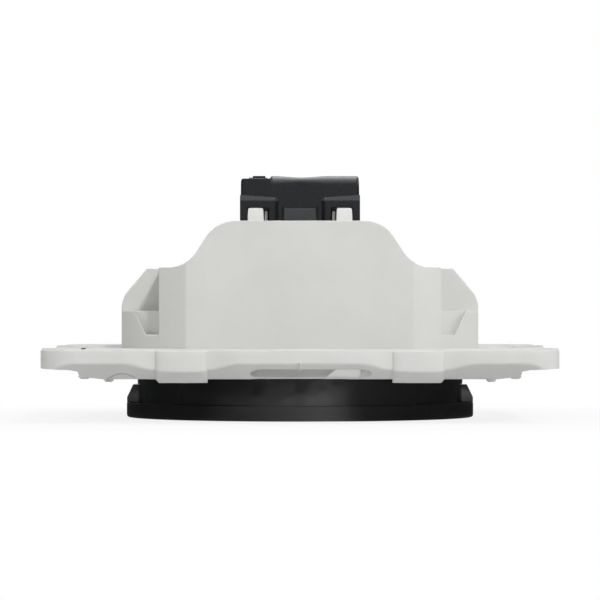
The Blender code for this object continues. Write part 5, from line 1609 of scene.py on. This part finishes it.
drum_profile = rounded_end(DRUM_RADIUS, DRUM_START, DRUM_START_FILLET, True)
drum_profile += rounded_end(DRUM_RADIUS, DRUM_END, DRUM_END_FILLET, False)
drum = turned("dial_drum", drum_profile)
combine(drum, "DIFFERENCE", turned("drum hollow", [(DRUM_INSIDE, WEB), (DRUM_INSIDE, DRUM_END + PAST)]))
combine(drum, "UNION", gather("grips", [grip(side) for side in (-1, 1)]))
combine(drum, "UNION", turned("hub", [(HUB_RADIUS, WEB - 0.3), (HUB_RADIUS, HUB_END)], 64))
rib_height = HUB_END - WEB + 0.2
rib_level = HUB_END - 0.05 - rib_height / 2
rib_values = {"Count": RIB_COUNT, "Rib length": (DRUM_INSIDE + RIB_OVERLAP) * MM}
rib_values |= {"Rib width": RIB_WIDTH * MM, "Rib height": rib_height * MM}
rib_values |= {"Level": rib_level * MM, "Finish": black_abs}
grow(drum, tree, rib_values)
bore = [(x, min(y, BORE_FLAT)) for x, y in circle(BORE_RADIUS)]
combine(drum, "DIFFERENCE", prism("hub bore", bore, (drum_low.z + 0.3, DRUM_END + PAST)))
seat(drum, black_abs, "dial", "black_plastic", "dial_body")


# %% [markdown]
# ## Terminal, button and lamp
# Below the hood sits a push-in terminal, one half red and one half dark grey. Each half has a row of
# round wire entries with a funnel, which repeat, so Geometry Nodes lines up one funnel four times and
# cuts the row out. The programming button and the lamp pipe are small turned pieces with a domed end.

# %% Wire entries
ENTRY_MOUTH_DEPTH = 0.5
entry_inputs = {"Count": "Int", "Pitch": "Float", "Hole radius": "Float", "Mouth radius": "Float"}
entry_inputs |= {"Depth": "Float", "Place": "Vector", "Finish": "Material"}
tree, given, result = new_tree("wire entries", entry_inputs)
pitch = add_node(tree, "ShaderNodeCombineXYZ", links={"Y": given.outputs["Pitch"]})
less = add_node(tree, "ShaderNodeMath", {"operation": "SUBTRACT"}, {1: 1.0}, {0: given.outputs["Count"]})
half = add_node(tree, "ShaderNodeMath", {"operation": "MULTIPLY"}, {1: -0.5}, {0: less.outputs[0]})
links = {0: pitch.outputs[0], "Scale": half.outputs[0]}
back = add_node(tree, "ShaderNodeVectorMath", {"operation": "SCALE"}, links=links)
links = {0: given.outputs["Place"], 1: back.outputs[0]}
first = add_node(tree, "ShaderNodeVectorMath", {"operation": "ADD"}, links=links)
links = {"Count": given.outputs["Count"], "Offset": pitch.outputs[0], "Start Location": first.outputs[0]}
row = add_node(tree, "GeometryNodeMeshLine", links=links)
double = add_node(tree, "ShaderNodeMath", {"operation": "MULTIPLY"}, {1: 2.0}, {0: given.outputs["Depth"]})
links = {"Radius": given.outputs["Hole radius"], "Depth": double.outputs[0]}
shaft = add_node(tree, "GeometryNodeMeshCylinder", sockets={"Vertices": 28}, links=links)
links = {"Radius Top": given.outputs["Mouth radius"], "Radius Bottom": given.outputs["Hole radius"]}
sockets = {"Vertices": 28, "Depth": ENTRY_MOUTH_DEPTH * MM}
mouth = add_node(tree, "GeometryNodeMeshCone", sockets=sockets, links=links)
sockets = {"Translation": (0, 0, -0.9 * ENTRY_MOUTH_DEPTH * MM)}
funnel = add_node(tree, "GeometryNodeTransform", sockets=sockets, links={"Geometry": mouth.outputs["Mesh"]})
entry = add_node(tree, "GeometryNodeMeshBoolean", {"operation": "UNION", "solver": "EXACT"})
tree.links.new(shaft.outputs["Mesh"], entry.inputs["Mesh 2"])
tree.links.new(funnel.outputs[0], entry.inputs["Mesh 2"])
links = {"Points": row.outputs["Mesh"], "Instance": entry.outputs["Mesh"]}
copies = add_node(tree, "GeometryNodeInstanceOnPoints", links=links)
real = add_node(tree, "GeometryNodeRealizeInstances", links={"Geometry": copies.outputs[0]})
drill = add_node(tree, "GeometryNodeMeshBoolean", {"operation": "DIFFERENCE", "solver": "EXACT"})
tree.links.new(given.outputs["Geometry"], drill.inputs["Mesh 1"])
tree.links.new(real.outputs[0], drill.inputs["Mesh 2"])
links = {"Geometry": drill.outputs["Mesh"], "Material": given.outputs["Finish"]}
painted = add_node(tree, "GeometryNodeSetMaterial", links=links)
tree.links.new(painted.outputs[0], result.inputs[0])
entry_tree = tree
print("wire entry tree has", len(tree.nodes), "nodes")


# %% Terminal halves
TERMINAL_CORNER = 0.5
TERMINAL_EDGE = ((0.0, -0.3), (0.04, -0.17), (0.13, -0.06), (0.3, 0.0))  # the rounding at both ends
SOCKET_DEPTH = 4.3
ENTRIES = {"Count": 4, "Pitch": 2.2 * MM, "Hole radius": 0.7 * MM, "Mouth radius": 0.98 * MM}
ENTRIES["Depth"] = 3.5 * MM


def terminal_half(name, node, finish, slot):
    """One half of the terminal: a rounded block with drilled wire entries and a socket for its pin."""
    low, high = cad_box(node)
    middle, reach = (low + high) / 2, (high - low) / 2
    levels = [(low.z + up, offset) for up, offset in TERMINAL_EDGE]
    levels += [(high.z - down, offset) for down, offset in reversed(TERMINAL_EDGE)]
    outline_at = growing_rectangle(reach.x, reach.y, TERMINAL_CORNER, (middle.x, middle.y), 5)
    body = flared(name, outline_at, levels)
    socket = circle(BUS_PIN_WAY, (math.copysign(BUS_PIN_AT, middle.x), 0.0), 24)
    combine(body, "DIFFERENCE", prism("socket", socket, (low.z - PAST, low.z + SOCKET_DEPTH)))
    place = (middle.x * MM, middle.y * MM, high.z * MM)
    grow(body, entry_tree, ENTRIES | {"Place": place, "Finish": finish})
    seat(body, finish, "housing", slot, node)


terminal_half("terminal_plus", "bus_terminal_positive", red_nylon, "red_plastic")
terminal_half("terminal_minus", "bus_terminal_negative", grey_nylon, "dark_grey_plastic")


# %% Button and lamp pipe
button_low, button_high = cad_box("programming_button")
pipe_low, pipe_high = cad_box("led_light_pipe")
DOME_HEIGHT = 0.3
DOME_TIP = 0.02
BUTTON_RADIUS = 1.6
PIPE_RADIUS = 1.0
FLANGE_RADIUS = 2.2
FLANGE_EDGE = 0.1
FLANGE_BACK = button_low.z + 0.5


def domed_pin(name, radius, high, centre, foot):
    """A round pin with a domed end, on a foot of the given (radius, height) points."""
    profile = foot + [(radius, foot[-1][1])]
    for a in np.linspace(0, math.pi / 2, 8)[:-1]:
        profile.append((radius * math.cos(a), high - DOME_HEIGHT * (1 - math.sin(a))))
    profile.append((DOME_TIP, high))
    return loft(name, [[(x, y, z) for x, y in circle(r, centre, 40)] for r, z in profile])


flange = [(FLANGE_RADIUS - FLANGE_EDGE, button_low.z), (FLANGE_RADIUS, button_low.z + FLANGE_EDGE)]
flange += [(FLANGE_RADIUS, FLANGE_BACK - FLANGE_EDGE), (FLANGE_RADIUS - FLANGE_EDGE, FLANGE_BACK)]
button = domed_pin("button_pin", BUTTON_RADIUS, button_high.z, (0.0, BUTTON_AT), flange)
seat(button, red_nylon, "program_button", "red_plastic", "programming_button")
pipe_foot = [(PIPE_RADIUS - 0.1, pipe_low.z)]
pipe = domed_pin("lamp_pipe", PIPE_RADIUS, pipe_high.z, (LAMP_AT, BUTTON_AT), pipe_foot)
seat(pipe, clear_acrylic, "housing", "clear_plastic", "led_light_pipe")


# %% [markdown]
# ## The carrier screws
# Four small pan-head screws hold the carrier behind the dial. They are the same screw four times, so one
# is turned with its thread, its slot is cut, and Geometry Nodes sets it on four points.

# %% Screws
SCREW_NODES = [f"carrier_screw_{number}" for number in (1, 2, 3, 4)]
screw_low, screw_high = cad_box(SCREW_NODES[0])
CORE_RADIUS = 0.88
THREAD_RADIUS = 1.1
THREAD_PITCH = 0.6
HEAD_END = screw_low.z + 0.8
SLOT_SIDE = 0.25
SLOT_DEPTH = 0.4
HEAD = ((1.1, 0.0), (1.5, 0.04), (1.72, 0.15), (1.8, 0.32))  # radii and heights of the pan head

profile = [(radius, screw_low.z + up) for radius, up in HEAD]
profile += [(1.8, HEAD_END - 0.04), (1.76, HEAD_END), (CORE_RADIUS, HEAD_END)]
for start in np.arange(HEAD_END + 0.3, screw_high.z - 1.0, THREAD_PITCH):
    profile += [(CORE_RADIUS, start), (THREAD_RADIUS, start + 0.22)]
    profile += [(THREAD_RADIUS, start + 0.28), (CORE_RADIUS, start + 0.5)]
profile += [(CORE_RADIUS, screw_high.z - 0.5), (0.4, screw_high.z)]
screw = turned("one screw", profile, 32)
slot_low, slot_high = (-3.0, -SLOT_SIDE, screw_low.z - PAST), (3.0, SLOT_SIDE, screw_low.z + SLOT_DEPTH)
combine(screw, "DIFFERENCE", block_cutter("slot", slot_low, slot_high))
screw.data.shade_smooth()
screw.hide_render = True

tree, given, result = new_tree("screws", {"Screw": "Object", "Finish": "Material"})
kept = add_node(tree, "GeometryNodeObjectInfo", links={"Object": given.outputs["Screw"]})
links = {"Points": given.outputs["Geometry"], "Instance": kept.outputs["Geometry"]}
copies = add_node(tree, "GeometryNodeInstanceOnPoints", links=links)
real = add_node(tree, "GeometryNodeRealizeInstances", links={"Geometry": copies.outputs[0]})
links = {"Geometry": real.outputs[0], "Material": given.outputs["Finish"]}
painted = add_node(tree, "GeometryNodeSetMaterial", links=links)
tree.links.new(painted.outputs[0], result.inputs[0])
spot_mesh = bpy.data.meshes.new("carrier_screws")
spots = [(sign_x * SCREW_AT * MM, sign_y * SCREW_AT * MM, 0.0) for sign_x, sign_y in CORNERS]
spot_mesh.from_pydata(spots, [], [])
screws = link_mesh("carrier_screws", spot_mesh)
grow(screws, tree, {"Screw": screw, "Finish": zinc_steel})
bpy.data.objects.remove(screw)
seat(screws, zinc_steel, "housing", "steel", *SCREW_NODES)


# %% [markdown]
# ## The pieces inside
# The boards, the encoder and the other pieces inside keep the CAD model's own shapes, because hardly
# anything of them shows. Each only gets the finish of what it is made of.

# %% Paint the CAD nodes that stay
CAD_FINISHES = (
    (charcoal_pc, ("carrier_plate",)),
    (pale_abs, ("push_plunger",)),
    (grey_nylon, ("encoder_rotor", "temperature_sensor", "board_header")),
    (grey_nylon, ("microcontroller", "bus_choke", "programming_switch")),
    (zinc_steel, ("encoder_shaft", "encoder_bush", "encoder_body", "detent_spring", "push_dome")),
    (tinned_brass, ("bus_pin_positive", "bus_pin_negative")),
    (bright_can, ("bus_capacitor_1", "bus_capacitor_2")),
    (board_laminate, ("control_board", "bus_board")),
    (clear_acrylic, ("programming_led",)),
)
for finish, names in CAD_FINISHES:
    for name in names:
        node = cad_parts[name]
        node.data.materials.clear()
        node.data.materials.append(finish)
    print(finish.name, "on", *names)


# %% [markdown]
# ## The visual box
# At the end the box of everything here is printed.

# %% Sizes
low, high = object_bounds()
print("visual box in mm:", [round(value / MM, 2) for value in (*low, *high)])
